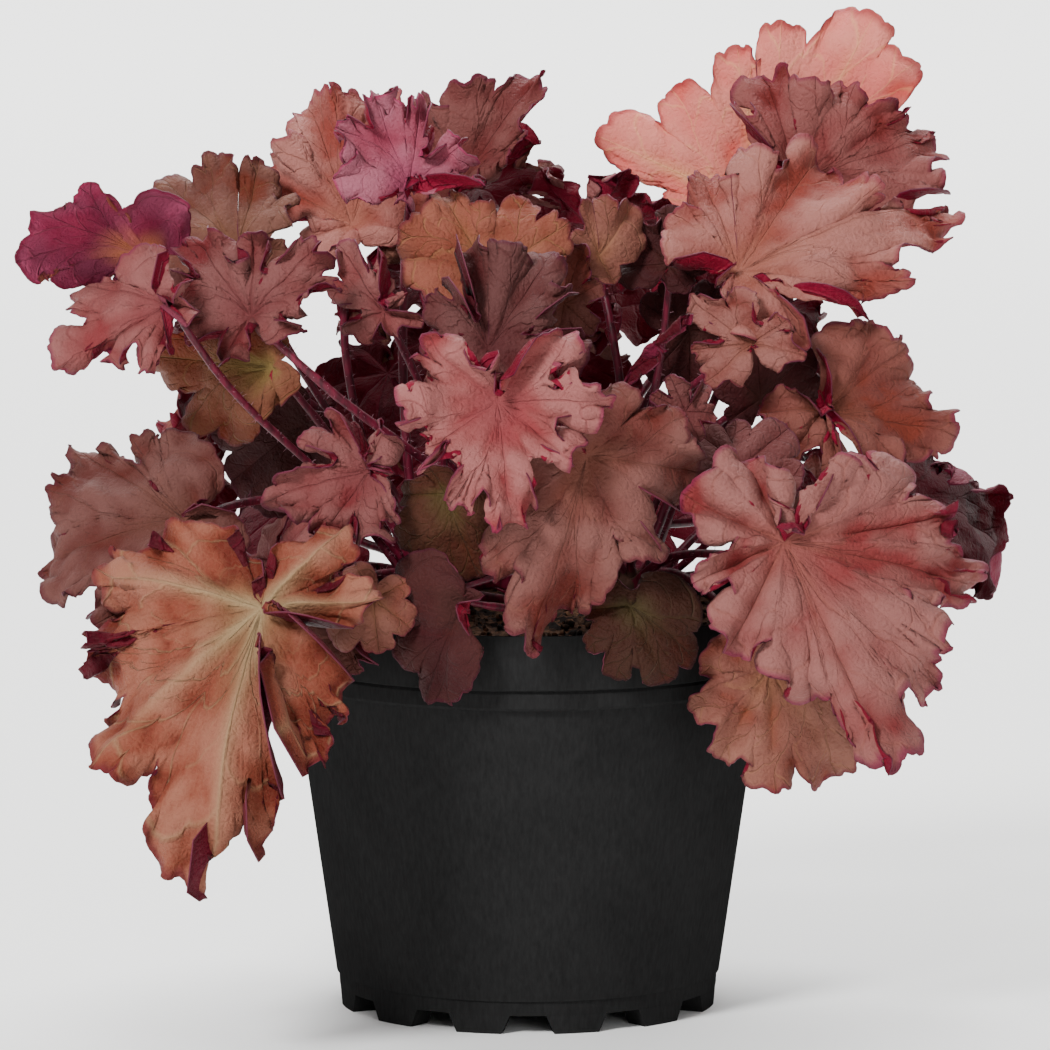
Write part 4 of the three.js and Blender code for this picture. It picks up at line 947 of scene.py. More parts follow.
# Leaves whose finish differs from that of their group.
OWN_FINISHES = {
    "leaf_orange_top": Tones("#743829", "#662818", "#884f40", "#967048", "#7c5434", "#5a1826", 0.4, 0.4),
    "leaf_rose_right": Tones("#713d3a", "#6c2224", "#7f524d", "#754036", "#743a36", "#641434", 0.35, 0.25),
    "leaf_wine_left": Tones("#8c4030", "#843020", "#94584a", "#a06a50", "#8c4830", "#64142c", 0.4, 0.3),
    "leaf_young_top": Tones("#6c2a38", "#5a1024", "#844e5a", "#8c4456", "#702c44", "#78123c", 0.4, 0.2),
    "leaf_back_top": Tones("#5a2726", "#561818", "#6c403c", "#6a3430", "#5a2824", "#5c1430", 0.3, 0.1),
    "leaf_redbrown_top": Tones("#6c2f2e", "#5e1c1a", "#7c4a46", "#6c2c2c", "#682c28", "#641430", 0.35, 0.1),
}
UNDERSIDE = Tones("#5e0218", "#460110", "#640620", "#700e2a", "#5e0218", "#56021c", 0.4, 0.2, 0.6)
OWN_UNDERSIDES = {
    "leaf_wine_left": Tones("#82203f", "#862440", "#8e405a", "#a84a64", "#f09a58", "#7a1236", 0.5, 0.0, 0.6),
}

SIDE_VEINS = 3.0             # pairs of side veins on a lobe
SIDE_VEIN_SLANT = -0.3       # how far out they have run at the lobe's edge
SIDE_VEIN_WIDTH = 0.065      # of the way between two side veins
SIDE_VEIN_START = (1.6, -0.4)   # they fade in as the share of the way out times this, plus that
MIDRIB_WIDTH = 0.06          # of a lobe's half width
MIDRIB_TAPER = -0.6          # of that width, lost on the way out
NET_MM = 2.4                 # mesh of the finest veins
NET_WARP = 0.0016            # how far they wander, in metres
NET_SHOWS = 0.15             # how strongly they show next to the others
NET_LINE, NET_DIP = 0.1, 0.35   # half width of these veins and of the dips beside them, of a mesh
BLOTCH_MM = 14.0             # blotches of bloom and of warmer colour
GRAIN_MM = 0.9               # tufts of the velvet
BLOTCHES_TELL = 1.1          # how much of each noise is added to the height of the relief
WIDE_TELLS, GRAIN_TELLS = 0.9, 0.8
PUCKER, NAP = 0.17, 0.42     # bumps between the finest veins and of the tufts
UNEVEN_GLOSS = 0.16          # range of the roughness, about the one of the velvet

# Where each colour sets in, where it is full, and from none to how much of it there is: by
# the height of the relief with its noise, and by the share of the way out. The troughs' colour
# is a painted shade in the hollows, the crests' a painted highlight with the bloom.
TROUGH_SHADE = (0.55, -0.05, 0.0, 0.85)
CREST_BLOOM_AND_HIGHLIGHT = (0.6, 1.75, 0.0, 0.8)
MIDDLE = (0.5, 0.05, 0.0, 0.6)
MARGIN = (0.95, 0.985, 0.0, 0.7)
GLOW_OUT, GLOW_IN = 0.95, 0.1   # shares of the way out between which the glow fades


def vein_mask(tree):
    """1 on the midrib of each lobe and on the side veins that leave it, and the share."""
    lobes = add(tree, "SeparateXYZ", [add(tree, "UVMap", uv_map="lobes")])
    share = lobes.node.outputs[1]
    across = add(tree, "Math", [lobes], operation="FRACT")
    signed = add(tree, "Math", [across, 2.0, -1.0], operation="MULTIPLY_ADD")
    size = add(tree, "Math", [signed], operation="ABSOLUTE")
    side = add(tree, "Math", [signed, 0.0], operation="GREATER_THAN")
    width = add(tree, "Math", [share, MIDRIB_TAPER * MIDRIB_WIDTH, MIDRIB_WIDTH],
                operation="MULTIPLY_ADD")
    reach = add(tree, "Math", [size, share], operation="MULTIPLY")
    away = add(tree, "Math", [reach, width], operation="DIVIDE")
    midrib = add(tree, "Math", [1.0, away], operation="SUBTRACT", use_clamp=True)
    slant = add(tree, "Math", [size, SIDE_VEIN_SLANT, share], operation="MULTIPLY_ADD")
    shifted = add(tree, "Math", [side, 0.5], operation="MULTIPLY")
    steps = add(tree, "Math", [slant, SIDE_VEINS, shifted], operation="MULTIPLY_ADD")
    near = add(tree, "Math", [steps, 0.5], operation="PINGPONG")
    branch = add(tree, "Math", [near, SIDE_VEIN_WIDTH], operation="DIVIDE")
    line = add(tree, "Math", [1.0, branch], operation="SUBTRACT", use_clamp=True)
    outer = add(tree, "Math", [share, *SIDE_VEIN_START], operation="MULTIPLY_ADD",
                use_clamp=True)
    side_vein = add(tree, "Math", [line, outer], operation="MULTIPLY")
    return add(tree, "Math", [midrib, side_vein], operation="MAXIMUM"), share


def leaf_material(name, tones, velvet):
    """A living leaf: matt and softly hairy above, puckered between its veins.

    What the eye gets is a mottled bronze that is warmer and darker in its troughs, a painted
    shade, and greyish and lighter on its crests, a painted highlight with the bloom, with a
    network of veins, a fine nap and no sharp highlight.
    """
    material, tree = new_material(name)
    where = add(tree, "TexCoord", out=3)
    veins, share = vein_mask(tree)
    blotches = add(tree, "TexNoise", {
        "Vector": where, "Scale": 1000 / BLOTCH_MM, "Detail": 4.0, "Roughness": 0.62})
    wide = add(tree, "TexNoise", {
        "Vector": where, "Scale": 1000 / (3 * BLOTCH_MM), "Detail": 2.0})
    warp = add(tree, "TexNoise", {"Vector": where, "Scale": 1000 / NET_MM}, out=1)
    warped = add(tree, "VectorMath", [warp, (NET_WARP,) * 3, where], operation="MULTIPLY_ADD")
    net = add(tree, "TexVoronoi", {"Vector": warped, "Scale": 1000 / NET_MM},
              feature="DISTANCE_TO_EDGE")
    net_line = add(tree, "MapRange", [net, 0.0, NET_LINE, 1.0, 0.0])
    pucker = add(tree, "MapRange", [net, 0.0, NET_DIP], interpolation_type="SMOOTHSTEP")
    grain = add(tree, "TexNoise", {
        "Vector": where, "Scale": 1000 / GRAIN_MM, "Detail": 3.0, "Roughness": 0.7})
    height, beside, shade = [add(tree, "Attribute", out=2, attribute_name=layer)
                             for layer in BLADE_LAYERS]
    low = add(tree, "Math", [blotches, BLOTCHES_TELL, height], operation="MULTIPLY_ADD")
    high = add(tree, "Math", [wide, WIDE_TELLS, height], operation="MULTIPLY_ADD")
    bloom_and_highlight_mask = add(tree, "Math", [grain, GRAIN_TELLS, high], operation="MULTIPLY_ADD")
    fading = add(tree, "MapRange", [share, GLOW_OUT, GLOW_IN, 0.0, tones.glow])
    # Colours laid over the face: darker in the troughs as painted shade, lighter on the crests as a painted
    # highlight with the bloom, then the middle, the veins and the margin.
    layers = (
        (tones.trough, add(tree, "MapRange", [low, *TROUGH_SHADE], interpolation_type="SMOOTHSTEP")),
        (tones.bloom, add(tree, "MapRange", [bloom_and_highlight_mask, *CREST_BLOOM_AND_HIGHLIGHT], interpolation_type="SMOOTHSTEP")),
        (tones.middle, add(tree, "MapRange", [share, *MIDDLE], interpolation_type="SMOOTHSTEP")),
        (tones.vein, add(tree, "Math", [beside, fading], operation="MULTIPLY")),
        (tones.vein, add(tree, "Math", [net_line, NET_SHOWS * tones.veins],
                         operation="MULTIPLY")),
        (tones.vein, add(tree, "Math", [veins, tones.veins], operation="MULTIPLY")),
        (tones.margin, add(tree, "MapRange", [share, *MARGIN])),
    )
    colour = paint(tones.face)
    for tone, amount in layers:
        colour = add(tree, "Mix", {0: amount, 6: colour, 7: paint(tone)}, out=2,
                     data_type="RGBA")
    # the whole blade made lighter or darker, partly for its age, partly as painted light and shade
    colour = add(tree, "VectorMath", {0: colour, 3: shade}, operation="SCALE")
    standing = add(tree, "Math", [veins, tones.rib], operation="MULTIPLY")
    puffed = add(tree, "Math", [pucker, PUCKER, standing], operation="MULTIPLY_ADD")
    nap = add(tree, "Math", [grain, NAP, puffed], operation="MULTIPLY_ADD")
    bump = add(tree, "Bump", {"Height": nap, "Strength": 0.95, "Distance": 0.0012})
    roughness = add(tree, "Math", [grain, UNEVEN_GLOSS, velvet - UNEVEN_GLOSS / 2],
                    operation="MULTIPLY_ADD")
    shader = add(tree, "BsdfPrincipled", {
        "Base Color": colour, "Roughness": roughness, "Normal": bump,
        "Specular IOR Level": 0.12, "Sheen Weight": 0.04, "Sheen Roughness": 0.5,
        "Sheen Tint": paint("#d8b0b0")})
    add(tree, "OutputMaterial", [shader])
    return material


def margin_material(settings):
    """The cut edge of a leaf, which the eye sees as a thin wine line."""
    material, tree = new_material("leaf_margin")
    shader = add(tree, "BsdfPrincipled", {
        "Base Color": settings.margin, "Roughness": 0.6, "Specular IOR Level": 0.3})
    add(tree, "OutputMaterial", [shader])
    return material


SLOTS = {part["node"]: part["material_slot"] for part in frame["record"]["subparts"]}


class HEUCHERA_OT_leaves(bpy.types.Operator):
    """Make every leaf as a thin frilled blade in the place of its solid"""
    bl_idname = "heuchera.leaves"
    bl_label = "Leaves"

    def execute(self, context):
        settings = context.scene.heuchera_leaves
        faces = {slot: leaf_material(f"{slot}_upper", tones, 0.6)
                 for slot, tones in FINISHES.items()}
        under = leaf_material("leaf_underside", UNDERSIDE, 0.5)
        margin = margin_material(settings)
        for leaf in all_leaves():
            slot = SLOTS[leaf.name]
            bm = blade_mesh(leaf, settings)
            upper, lower = faces[slot], under
            if leaf.name in OWN_FINISHES:
                upper = leaf_material(f"{leaf.name}_upper", OWN_FINISHES[leaf.name], 0.6)
            if leaf.name in OWN_UNDERSIDES:
                lower = leaf_material(f"{leaf.name}_underside", OWN_UNDERSIDES[leaf.name], 0.6)
            piece = object_from(bm, f"{leaf.name}_blade", (upper, lower, margin))
            thinning = piece.modifiers.new("Thinning", "DECIMATE")
            thinning.ratio = settings.kept
            wall = piece.modifiers.new("Thickness", "SOLIDIFY")
            wall.thickness = settings.thickness
            wall.offset = 0
            wall.material_offset = 1
            wall.material_offset_rim = 2
            stand_for(piece, leaf.name)
        return {"FINISHED"}


# ---------------------------------------------------------------- crowns and petioles
FLESH, HAIR, BARK = 0, 1, 2  # material slots of a crown with its petioles
COARSE_MERGE = 0.00002       # points of the coarse solid this close are one
STUB_R, STUB_Z = 0.0105, 0.151   # bark covers a crown this far round its axis and this high
SKIN_LUMP, SKIN_LUMPS = 0.00025, 300   # height of the skin's lumps, and how many to the metre
STREAK_MM, STREAK_LENGTH = 1.67, 5     # width of the petioles' streaks, and how many times longer
BARK_MM = 3.85               # scales of the bark
HAIR_FOOT_Z = 0.152          # hairs grow above this height
HAIR_R, HAIR_TIP_R = 0.00008, 0.00002
MM2_IN_M2 = 1e6
HAIR_LEAN = 0.45             # how far a hair leans, next to an upright one of length 1
HAIR_MIDDLE = 0.45           # its middle is this share of its length above the skin


def stalk_material(settings):
    """Fleshy stalks: wine-red, streaked lengthwise, with a soft gloss."""
    material, tree = new_material("petiole_flesh")
    where = add(tree, "TexCoord", out=3)
    stretched = add(tree, "Mapping", {"Vector": where, "Scale": (1.0, 1.0, 1 / STREAK_LENGTH)})
    streaks = add(tree, "TexNoise", {
        "Vector": stretched, "Scale": 1000 / STREAK_MM, "Detail": 3.0})
    colours = add(tree, "ValToRGB", [streaks])
    dark, light = colours.node.color_ramp.elements
    dark.position = 0.35
    dark.color = settings.dark_streaks
    light.position = 0.7
    light.color = settings.light_streaks
    bump = add(tree, "Bump", {"Height": streaks, "Strength": 0.3, "Distance": 0.0004})
    shader = add(tree, "BsdfPrincipled", {
        "Base Color": colours, "Normal": bump, "Roughness": 0.42,
        "Specular IOR Level": 0.3})
    add(tree, "OutputMaterial", [shader])
    return material


def hair_material(settings):
    """Fine hairs on the stalks, which catch the light as a pale fuzz."""
    material, tree = new_material("petiole_hair")
    shader = add(tree, "BsdfPrincipled", {
        "Base Color": settings.hairs, "Roughness": 0.6, "Specular IOR Level": 0.3})
    add(tree, "OutputMaterial", [shader])
    return material


def crown_material():
    """Woody crown under papery brown scales, rough and dull."""
    material, tree = new_material("crown_bark")
    where = add(tree, "TexCoord", out=3)
    rough = add(tree, "TexNoise", {"Vector": where, "Scale": 1000 / BARK_MM, "Detail": 5.0})
    colours = add(tree, "ValToRGB", [rough])
    dark, light = colours.node.color_ramp.elements
    dark.color = paint("#1f120e")
    light.color = paint("#5c3524")
    bump = add(tree, "Bump", {"Height": rough, "Strength": 0.8, "Distance": 0.001})
    shader = add(tree, "BsdfPrincipled", {
        "Base Color": colours, "Normal": bump, "Roughness": 0.85})
    add(tree, "OutputMaterial", [shader])
    return material


def smooth_crown(crown, settings):
    """The crown and its petioles as one rounded skin, grown from the coarse solid."""
    bm = bmesh.new()
    bm.from_mesh(frame["nodes"][f"crown_{crown}"].data)
    bmesh.ops.remove_doubles(bm, verts=bm.verts, dist=COARSE_MERGE)
    bmesh.ops.join_triangles(bm, faces=bm.faces, angle_face_threshold=math.radians(50),
                             angle_shape_threshold=math.radians(70))
    holder = object_from(bm, f"crown_{crown}_coarse")
    rounding = holder.modifiers.new("Rounding", "SUBSURF")
    rounding.levels = rounding.render_levels = 2
    swelling = holder.modifiers.new("Swelling", "DISPLACE")
    swelling.mid_level = 0
    swelling.strength = settings.swelling
    skin = applied(holder)
    x, y = CROWNS[crown]
    for face in skin.faces:
        centre = face.calc_center_median()
        near = math.hypot(centre.x - x * MM, centre.y - y * MM) < STUB_R
        face.material_index = BARK if near and centre.z < STUB_Z else FLESH
    for vertex in skin.verts:
        lump = noise.noise(vertex.co * SKIN_LUMPS) * SKIN_LUMP
        vertex.co += vertex.normal * lump
    return skin


def add_hairs(bm, skin, crown, settings):
    """Short pointed hairs that stand out of the petioles, as many on each square mm."""
    draws = random.Random(f"hairs {crown}")
    for face in skin.faces:
        centre = face.calc_center_median()
        if centre.z < HAIR_FOOT_Z or face.material_index != FLESH:
            continue
        expected = face.calc_area() * settings.hair_density * MM2_IN_M2
        for _ in range(int(expected + draws.random())):
            start, one, two = (corner.co for corner in face.verts[:3])
            at = start.lerp(one.lerp(two, draws.random()), draws.random())
            out = face.normal + random_axis(draws) * HAIR_LEAN
            size = settings.hair_length * draws.uniform(0.5, 1.0)
            turn = out.to_track_quat("Z", "Y").to_matrix().to_4x4()
            spot = Matrix.Translation(at + out.normalized() * (size * HAIR_MIDDLE)) @ turn
            bmesh.ops.create_cone(bm, segments=3, radius1=HAIR_R, radius2=HAIR_TIP_R,
                                  depth=size, matrix=spot)


class HEUCHERA_OT_stalks(bpy.types.Operator):
    """Make the crowns with their petioles and the hairs on these"""
    bl_idname = "heuchera.stalks"
    bl_label = "Crowns and petioles"

    def execute(self, context):
        settings = context.scene.heuchera_stalks
        materials = (stalk_material(settings), hair_material(settings), crown_material())
        for crown in CROWNS:
            bm = smooth_crown(crown, settings)
            hairs = bmesh.new()
            add_hairs(hairs, bm, crown, settings)
            join(bm, hairs, HAIR)
            piece = object_from(bm, f"crown_{crown}_stalks", materials)
            stand_for(piece, f"crown_{crown}")
        return {"FINISHED"}


# ---------------------------------------------------------------- pot
RIM_R, RIM_Z = 0.085, 0.1375
COLLAR_R, COLLAR_Z = 0.0838, 0.119   # the collar's foot
BAND_R, BAND_Z = 0.0825, 0.112       # and the foot of the band under it
BAND_UNDERCUT = 0.0007       # how far its two edges draw in
BODY_R = 0.0799              # of the wall right under the band
INNER_R, INNER_Z = 0.0783, 0.11
STEP_R, STEP_Z, STEP_DEPTH = 0.0654, 0.011, 0.0008
STEP_RISE, BAND_RISE = 0.0003, 0.0002   # of the slopes under the step and under the band
BAND_EDGE = 0.0012           # height of the band's drawn-in edges
COLLAR_DROP, COLLAR_RISE = 0.0003, 0.0004   # of the slope under the collar, about its foot
BASE_R = 0.064
LIP, WALL = 0.0022, 0.0016   # thickness of the rim and of the wall
WALL_FOOT = 0.0004           # how much thicker the wall is where it meets the floor
FLOOR_Z, FLOOR_THICK = 0.009, 0.002
FEET = 12
NOTCH_Z = 0.0063             # height of the gaps between the feet
NOTCH_ANGLE = math.radians(13.5)
FOOT_DEPTH = 0.009
FOOT_DRAFT = 0.0014          # how much narrower each side of a foot gets on its way down
FOOT_CUTS = 6                # bends of a foot round the base
FOOT_SUNK = 0.0002           # how far a foot runs up into the base
FOOT_BACK = 0.00003          # and stays behind the wall's face
DRAINS, DRAIN_SEGMENTS = 6, 40
DRAIN_R, DRAIN_CIRCLE_R = 0.005, 0.038
POT_MERGE = 0.000005         # points this close are one
MOULDED_ANGLE = 0.35         # edges that turn by more than this are rounded
PEEL_MM = 1.11               # waves of the moulded skin
SCUFF_MM = 1.2               # from one fine scuff to the next, round the pot
SCUFF_LENGTH = 4             # how many times longer a scuff is than wide
DUST_MM = 30.0               # dull patches


def pot_profile():
    """Radius and height from the middle of the floor's underside round to its top."""
    skirt = lerp(BASE_R, STEP_R - STEP_DEPTH, NOTCH_Z / STEP_Z)
    return [
        (0, FLOOR_Z - FLOOR_THICK), (BASE_R - FOOT_DEPTH, FLOOR_Z - FLOOR_THICK),
        (BASE_R - FOOT_DEPTH, NOTCH_Z), (skirt, NOTCH_Z), (STEP_R - STEP_DEPTH, STEP_Z),
        (STEP_R, STEP_Z + STEP_RISE), (BODY_R, BAND_Z),
        (BAND_R - BAND_UNDERCUT, BAND_Z + BAND_RISE), (BAND_R, BAND_Z + BAND_EDGE),
        (BAND_R, COLLAR_Z - BAND_EDGE), (BAND_R - BAND_UNDERCUT, COLLAR_Z - COLLAR_DROP),
        (COLLAR_R, COLLAR_Z + COLLAR_RISE), (RIM_R, RIM_Z), (RIM_R - LIP, RIM_Z),
        (INNER_R, INNER_Z), (STEP_R - WALL - WALL_FOOT, FLOOR_Z), (0, FLOOR_Z),
    ]


def drilled(bm):
    """The same body with its drain holes cut through the floor."""
    drill = bmesh.new()
    for index in range(DRAINS):
        centre = round_the_axis(DRAIN_CIRCLE_R, FULL_TURN * index / DRAINS, FLOOR_Z)
        bmesh.ops.create_cone(drill, cap_ends=True, segments=DRAIN_SEGMENTS, radius1=DRAIN_R,
                              radius2=DRAIN_R, depth=4 * FLOOR_THICK,
                              matrix=Matrix.Translation(centre))
    body = object_from(bm, "pot_blank")
    cutter = object_from(drill, "pot_drill")
    holes = body.modifiers.new("Drain holes", "BOOLEAN")
    holes.object = cutter
    return applied(body, cutter)


def pot_body(settings):
    """The turned shell of the pot, drilled, its moulded edges rounded."""
    bm = bmesh.new()
    spin_profile(bm, pot_profile(), settings.segments, POT_MERGE)
    bm = drilled(bm)
    sharp = [edge for edge in bm.edges
             if edge.is_manifold and edge.calc_face_angle() > MOULDED_ANGLE]
    bmesh.ops.bevel(bm, geom=sharp, offset=settings.edge, offset_type="OFFSET", segments=3,
                    profile=0.5, affect="EDGES", clamp_overlap=True, material=-1)
    return bm


def add_feet(bm):
    """The feet: blocks bent round the base, narrower at the bottom."""
    span = FULL_TURN / FEET - NOTCH_ANGLE
    for index in range(FEET):
        middle = math.radians(-90) + (index + 0.5) * FULL_TURN / FEET
        foot = bmesh.new()
        bmesh.ops.create_cube(foot, size=1)
        along = [edge for edge in foot.edges
                 if abs(edge.verts[0].co.x - edge.verts[1].co.x) > 0.5]
        bmesh.ops.subdivide_edges(foot, edges=along, cuts=FOOT_CUTS)
        for vertex in foot.verts:
            height = (vertex.co.z + 0.5) * (NOTCH_Z + FOOT_SUNK)
            outer = lerp(BASE_R, STEP_R - STEP_DEPTH, height / STEP_Z)
            radius = BASE_R - FOOT_DEPTH if vertex.co.y < 0 else outer - FOOT_BACK
            shrink = FOOT_DRAFT * (1 - 2 * height / NOTCH_Z) / BASE_R
            azimuth = middle - vertex.co.x * (span - 2 * shrink)
            vertex.co = round_the_axis(radius, azimuth, height)
        join(bm, foot)


def pot_material(settings):
    """Injection-moulded polypropylene: black, satin, finely scuffed up and down its wall."""
    material, tree = new_material("pot_polypropylene")
    where = add(tree, "TexCoord", out=3)
    peel = add(tree, "TexNoise", {"Vector": where, "Scale": 1000 / PEEL_MM, "Detail": 3.0})
    drawn = add(tree, "Mapping", {"Vector": where, "Scale": (1.0, 1.0, 1 / SCUFF_LENGTH)})
    scuffs = add(tree, "TexNoise", {
        "Vector": drawn, "Scale": 1000 / SCUFF_MM, "Detail": 5.0, "Roughness": 0.7})
    dust = add(tree, "TexNoise", {"Vector": where, "Scale": 1000 / DUST_MM, "Detail": 4.0})
    both = add(tree, "Math", [scuffs, 2.0, dust], operation="MULTIPLY_ADD")
    shade = add(tree, "MapRange", [both, 1.0, 2.0])
    colour = add(tree, "Mix", {0: shade, 6: settings.plastic, 7: settings.dust}, out=2,
                 data_type="RGBA")
    rough = add(tree, "Math", [scuffs, 0.16, 0.5], operation="MULTIPLY_ADD")
    bump = add(tree, "Bump", {"Height": peel, "Strength": 0.12, "Distance": 0.0002})
    shader = add(tree, "BsdfPrincipled", {
        "Base Color": colour, "Roughness": rough, "Normal": bump,
        "Specular IOR Level": 0.0})
    add(tree, "OutputMaterial", [shader])
    return material


class HEUCHERA_OT_pot(bpy.types.Operator):
    """Make the nursery pot with its collar, band, step, feet and drain holes"""
    bl_idname = "heuchera.pot"
    bl_label = "Pot"

    def execute(self, context):
        settings = context.scene.heuchera_pot
        bm = pot_body(settings)
        add_feet(bm)
        bmesh.ops.recalc_face_normals(bm, faces=bm.faces)
        piece = object_from(bm, "pot_shell", [pot_material(settings)])
        piece.data.set_sharp_from_angle(angle=math.radians(40))
        stand_for(piece, "pot")
        return {"FINISHED"}


# ---------------------------------------------------------------- potting mix
MIX_R = 0.0812               # inside the pot at the height of the mix
MIX_EDGE_R = 0.0808          # and of the mix, which ends just clear of it
MIX_Z, MIX_DOME = 0.131, 0.004   # height at the wall, and how much more in the middle
MIX_WAVE, MIX_CLOD = 0.00065, 0.0009   # heights of its wide waves and of its clods
MIX_WAVES = ((5, 210, 0), (9, -340, 1.7))   # how each wave turns: by azimuth, radius, phase
LARGE_CLODS, SMALL_CLODS = 240, 620    # to the metre
MIX_TOP = 0.985              # where the top begins, of the way from the axis to the edge
CLOD_MM, FIBRE_MM = 2.38, 1.43         # grain of the colour and of the fibres
MIX_WALL = ((0, 0.0094), (0.0628, 0.0094), (0.0775, 0.109), (MIX_EDGE_R, 0.129))
MIX_RINGS, MIX_STEPS = 30, 120
MIX_MERGE = 0.00001          # points this close are one
CRUMBS_R = 0.079             # crumbs lie this far out at most
CRUMB_R, CRUMB_MORE = 0.0005, 0.0016   # of the smallest, and what the largest has more
CRUMB_RAISED = 0.4           # of its radius that a crumb's middle lies above the mix


def soil_height(radius, azimuth):
    across = radius / MIX_R
    wave = sum(math.sin(azimuth * around + radius * inwards + phase)
               for around, inwards, phase in MIX_WAVES)
    return MIX_Z + MIX_DOME * (1 - across * across) + MIX_WAVE * wave


def soil_material(settings):
    """Damp peat and bark: dark brown crumbs with lighter fibres, quite matt."""
    material, tree = new_material("potting_peat")
    where = add(tree, "TexCoord", out=3)
    clods = add(tree, "TexVoronoi", {"Vector": where, "Scale": 1000 / CLOD_MM}, out=1)
    fibres = add(tree, "TexNoise", {"Vector": where, "Scale": 1000 / FIBRE_MM, "Detail": 6.0})
    tone = add(tree, "SeparateColor", [clods])
    both = add(tree, "Math", [tone, fibres], operation="MULTIPLY")
    colours = add(tree, "ValToRGB", [both])
    dark, light = colours.node.color_ramp.elements
    dark.position = 0.12
    dark.color = settings.peat
    light.position = 0.62
    light.color = settings.fibres
    bump = add(tree, "Bump", {"Height": fibres, "Strength": 0.9, "Distance": 0.001})
    shader = add(tree, "BsdfPrincipled", {
        "Base Color": colours, "Normal": bump, "Roughness": 0.92,
        "Specular IOR Level": 0.2})
    add(tree, "OutputMaterial", [shader])
    return material


def soil_body():
    """The mix up to its top, which is domed, waved and cloddy."""
    bm = bmesh.new()
    rings = [(MIX_EDGE_R * (1 - ring / MIX_RINGS) * MIX_TOP, MIX_Z)
             for ring in range(MIX_RINGS + 1)]
    spin_profile(bm, [*MIX_WALL, *rings], MIX_STEPS, MIX_MERGE)
    for vertex in bm.verts:
        if vertex.co.z > MIX_Z - 0.0005:
            radius = math.hypot(vertex.co.x, vertex.co.y)
            azimuth = math.atan2(vertex.co.y, vertex.co.x) if radius > 0.001 else 0
            rough = noise.noise(vertex.co * LARGE_CLODS)
            rough += 0.5 * noise.noise(vertex.co * SMALL_CLODS)
            vertex.co.z = soil_height(radius, azimuth) + MIX_CLOD * rough
    return bm


def add_crumbs(bm, count):
    """Loose crumbs that lie on the mix, most of them small."""
    draws = random.Random("crumbs")
    for _ in range(count):
        radius = CRUMBS_R * math.sqrt(draws.random())
        azimuth = draws.uniform(0, FULL_TURN)
        size = CRUMB_R + CRUMB_MORE * draws.random() ** 3
        height = soil_height(radius, azimuth) + size * CRUMB_RAISED
        spot = Matrix.Translation(round_the_axis(radius, azimuth, height))
        turn = Matrix.Rotation(draws.uniform(0, 3), 4, random_axis(draws))
        shape = Matrix.Diagonal((1.0, draws.uniform(0.5, 1.0), draws.uniform(0.4, 0.9), 1.0))
        bmesh.ops.create_icosphere(bm, subdivisions=1, radius=size, matrix=spot @ turn @ shape)


class HEUCHERA_OT_soil(bpy.types.Operator):
    """Make the potting mix, lumpy on top, with loose crumbs"""
    bl_idname = "heuchera.soil"
    bl_label = "Potting mix"

    def execute(self, context):
        settings = context.scene.heuchera_pot
        bm = soil_body()
        add_crumbs(bm, settings.crumbs)
        piece = object_from(bm, "soil_surface", [soil_material(settings)])
        stand_for(piece, "soil")
        return {"FINISHED"}


# ---------------------------------------------------------------- stage
FLOOR_SPREAD = 12            # from the middle of the floor to its sides
CAMERA_Z = 0.532
CAMERA_AIM = (-0.001, 0, 0.1637)
SKY_STRENGTH = 0.42
PATCH_MM = 333               # uneven patches of the floor's paint

# The lamps: their names, places, what they shine at, widths and powers in the settings.
LAMPS = (
    ("key", (-1.25, -1.75, 1.8), (0, 0, 0.2), 0.7, "key_power"),
    ("fill", (0.9, -2.4, 0.7), (0, 0, 0.18), 1.2, "fill_power"),
    ("top", (0.1, 0.7, 1.7), (0, 0, 0.25), 0.8, "fill_power"),
    ("backdrop", (0, 4.5, 3.2), (0, 4.5, 0), 7.0, "backdrop_power"),
)


def stand_at(name, data, spot, aim):
    """Puts a lamp or a camera at its spot, turned towards its aim."""
    holder = bpy.data.objects.new(name, data)
    bpy.context.scene.collection.objects.link(holder)
    holder.location = spot
    holder.rotation_euler = (Vector(aim) - Vector(spot)).to_track_quat("-Z", "Y").to_euler()
    return holder


def floor_material(settings):
    """Matt studio paint, a little uneven in its sheen."""
    material, tree = new_material("studio_floor_paint")
    where = add(tree, "TexCoord", out=3)
    speck = add(tree, "TexNoise", {"Vector": where, "Scale": 1000 / PATCH_MM, "Detail": 2.0})
    rough = add(tree, "Math", [speck, 0.06, 0.85], operation="MULTIPLY_ADD")
    shader = add(tree, "BsdfPrincipled", {
        "Base Color": settings.floor, "Roughness": rough, "Specular IOR Level": 0.1})
    add(tree, "OutputMaterial", [shader])
    return material


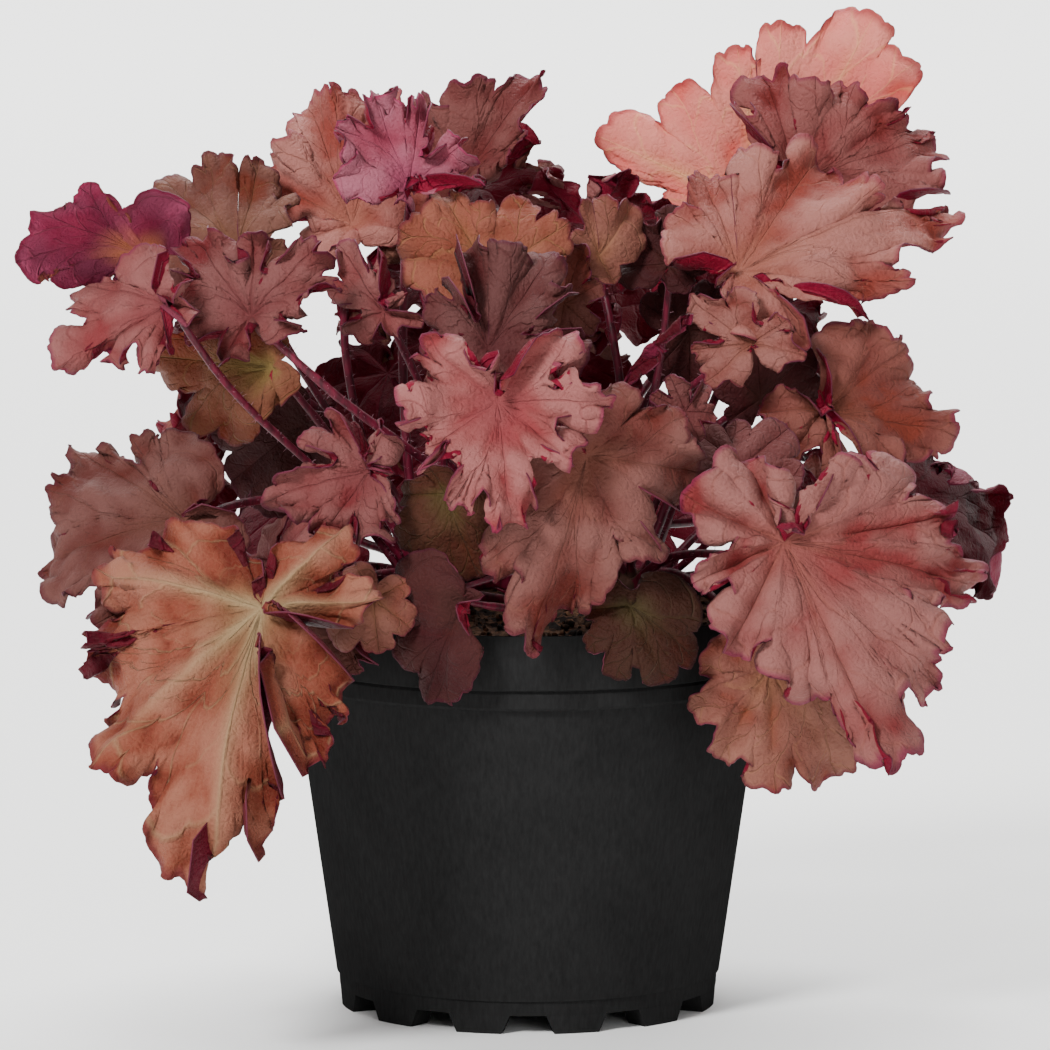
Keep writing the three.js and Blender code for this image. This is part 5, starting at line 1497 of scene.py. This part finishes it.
class HEUCHERA_OT_stage(bpy.types.Operator):
    """Set the pale floor, the soft studio light and the camera"""
    bl_idname = "heuchera.stage"
    bl_label = "Stage"

    def execute(self, context):
        scene = context.scene
        settings = scene.heuchera_stage
        bm = bmesh.new()
        bmesh.ops.create_grid(bm, x_segments=4, y_segments=4, size=FLOOR_SPREAD)
        floor = object_from(bm, "stage_floor", [floor_material(settings)], smooth=False)
        camera = bpy.data.cameras.new("camera")
        camera.lens = settings.lens
        camera.sensor_width = 36.0
        camera.clip_end = 50.0
        scene.camera = stand_at("camera", camera, (0, -settings.distance, CAMERA_Z), CAMERA_AIM)
        world = bpy.data.worlds.new("studio")
        world.use_nodes = True
        sky = world.node_tree.nodes["Background"]
        sky.inputs["Color"].default_value = paint("#ffffff")
        sky.inputs["Strength"].default_value = SKY_STRENGTH
        scene.world = world
        for name, spot, aim, width, power in LAMPS:
            light = bpy.data.lights.new(name, "AREA")
            light.shape = "DISK"
            light.size = width
            light.energy = getattr(settings, power)
            stand_at(name, light, spot, aim)
        return {"FINISHED"}


# ---------------------------------------------------------------- panel and running
SETTINGS = {
    "heuchera_leaves": HeucheraLeafSettings,
    "heuchera_stalks": HeucheraStalkSettings,
    "heuchera_pot": HeucheraPotSettings,
    "heuchera_stage": HeucheraStageSettings,
}
OPERATORS = (HEUCHERA_OT_stage, HEUCHERA_OT_pot, HEUCHERA_OT_soil, HEUCHERA_OT_stalks,
             HEUCHERA_OT_leaves)


class HEUCHERA_PT_panel(bpy.types.Panel):
    """Lists the settings and the pieces of the plant, to be made one by one"""
    bl_label = "Heuchera"
    bl_idname = "HEUCHERA_PT_panel"
    bl_space_type = "VIEW_3D"
    bl_region_type = "UI"
    bl_category = "Heuchera"

    def draw(self, context):
        for group, kind in SETTINGS.items():
            settings = getattr(context.scene, group)
            for name in kind.__annotations__:
                self.layout.prop(settings, name)
        for operator in OPERATORS:
            self.layout.operator(operator.bl_idname)


def register():
    for name, group in SETTINGS.items():
        bpy.utils.register_class(group)
        setattr(bpy.types.Scene, name, bpy.props.PointerProperty(type=group))
    for operator in OPERATORS:
        bpy.utils.register_class(operator)
    bpy.utils.register_class(HEUCHERA_PT_panel)


def unregister():
    bpy.utils.unregister_class(HEUCHERA_PT_panel)
    for operator in reversed(OPERATORS):
        bpy.utils.unregister_class(operator)
    for name, group in reversed(SETTINGS.items()):
        delattr(bpy.types.Scene, name)
        bpy.utils.unregister_class(group)


def main():
    register()
    bpy.ops.heuchera.stage()
    bpy.ops.heuchera.pot()
    bpy.ops.heuchera.soil()
    bpy.ops.heuchera.stalks()
    bpy.ops.heuchera.leaves()
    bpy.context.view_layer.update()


if __name__ == "__main__":
    main()
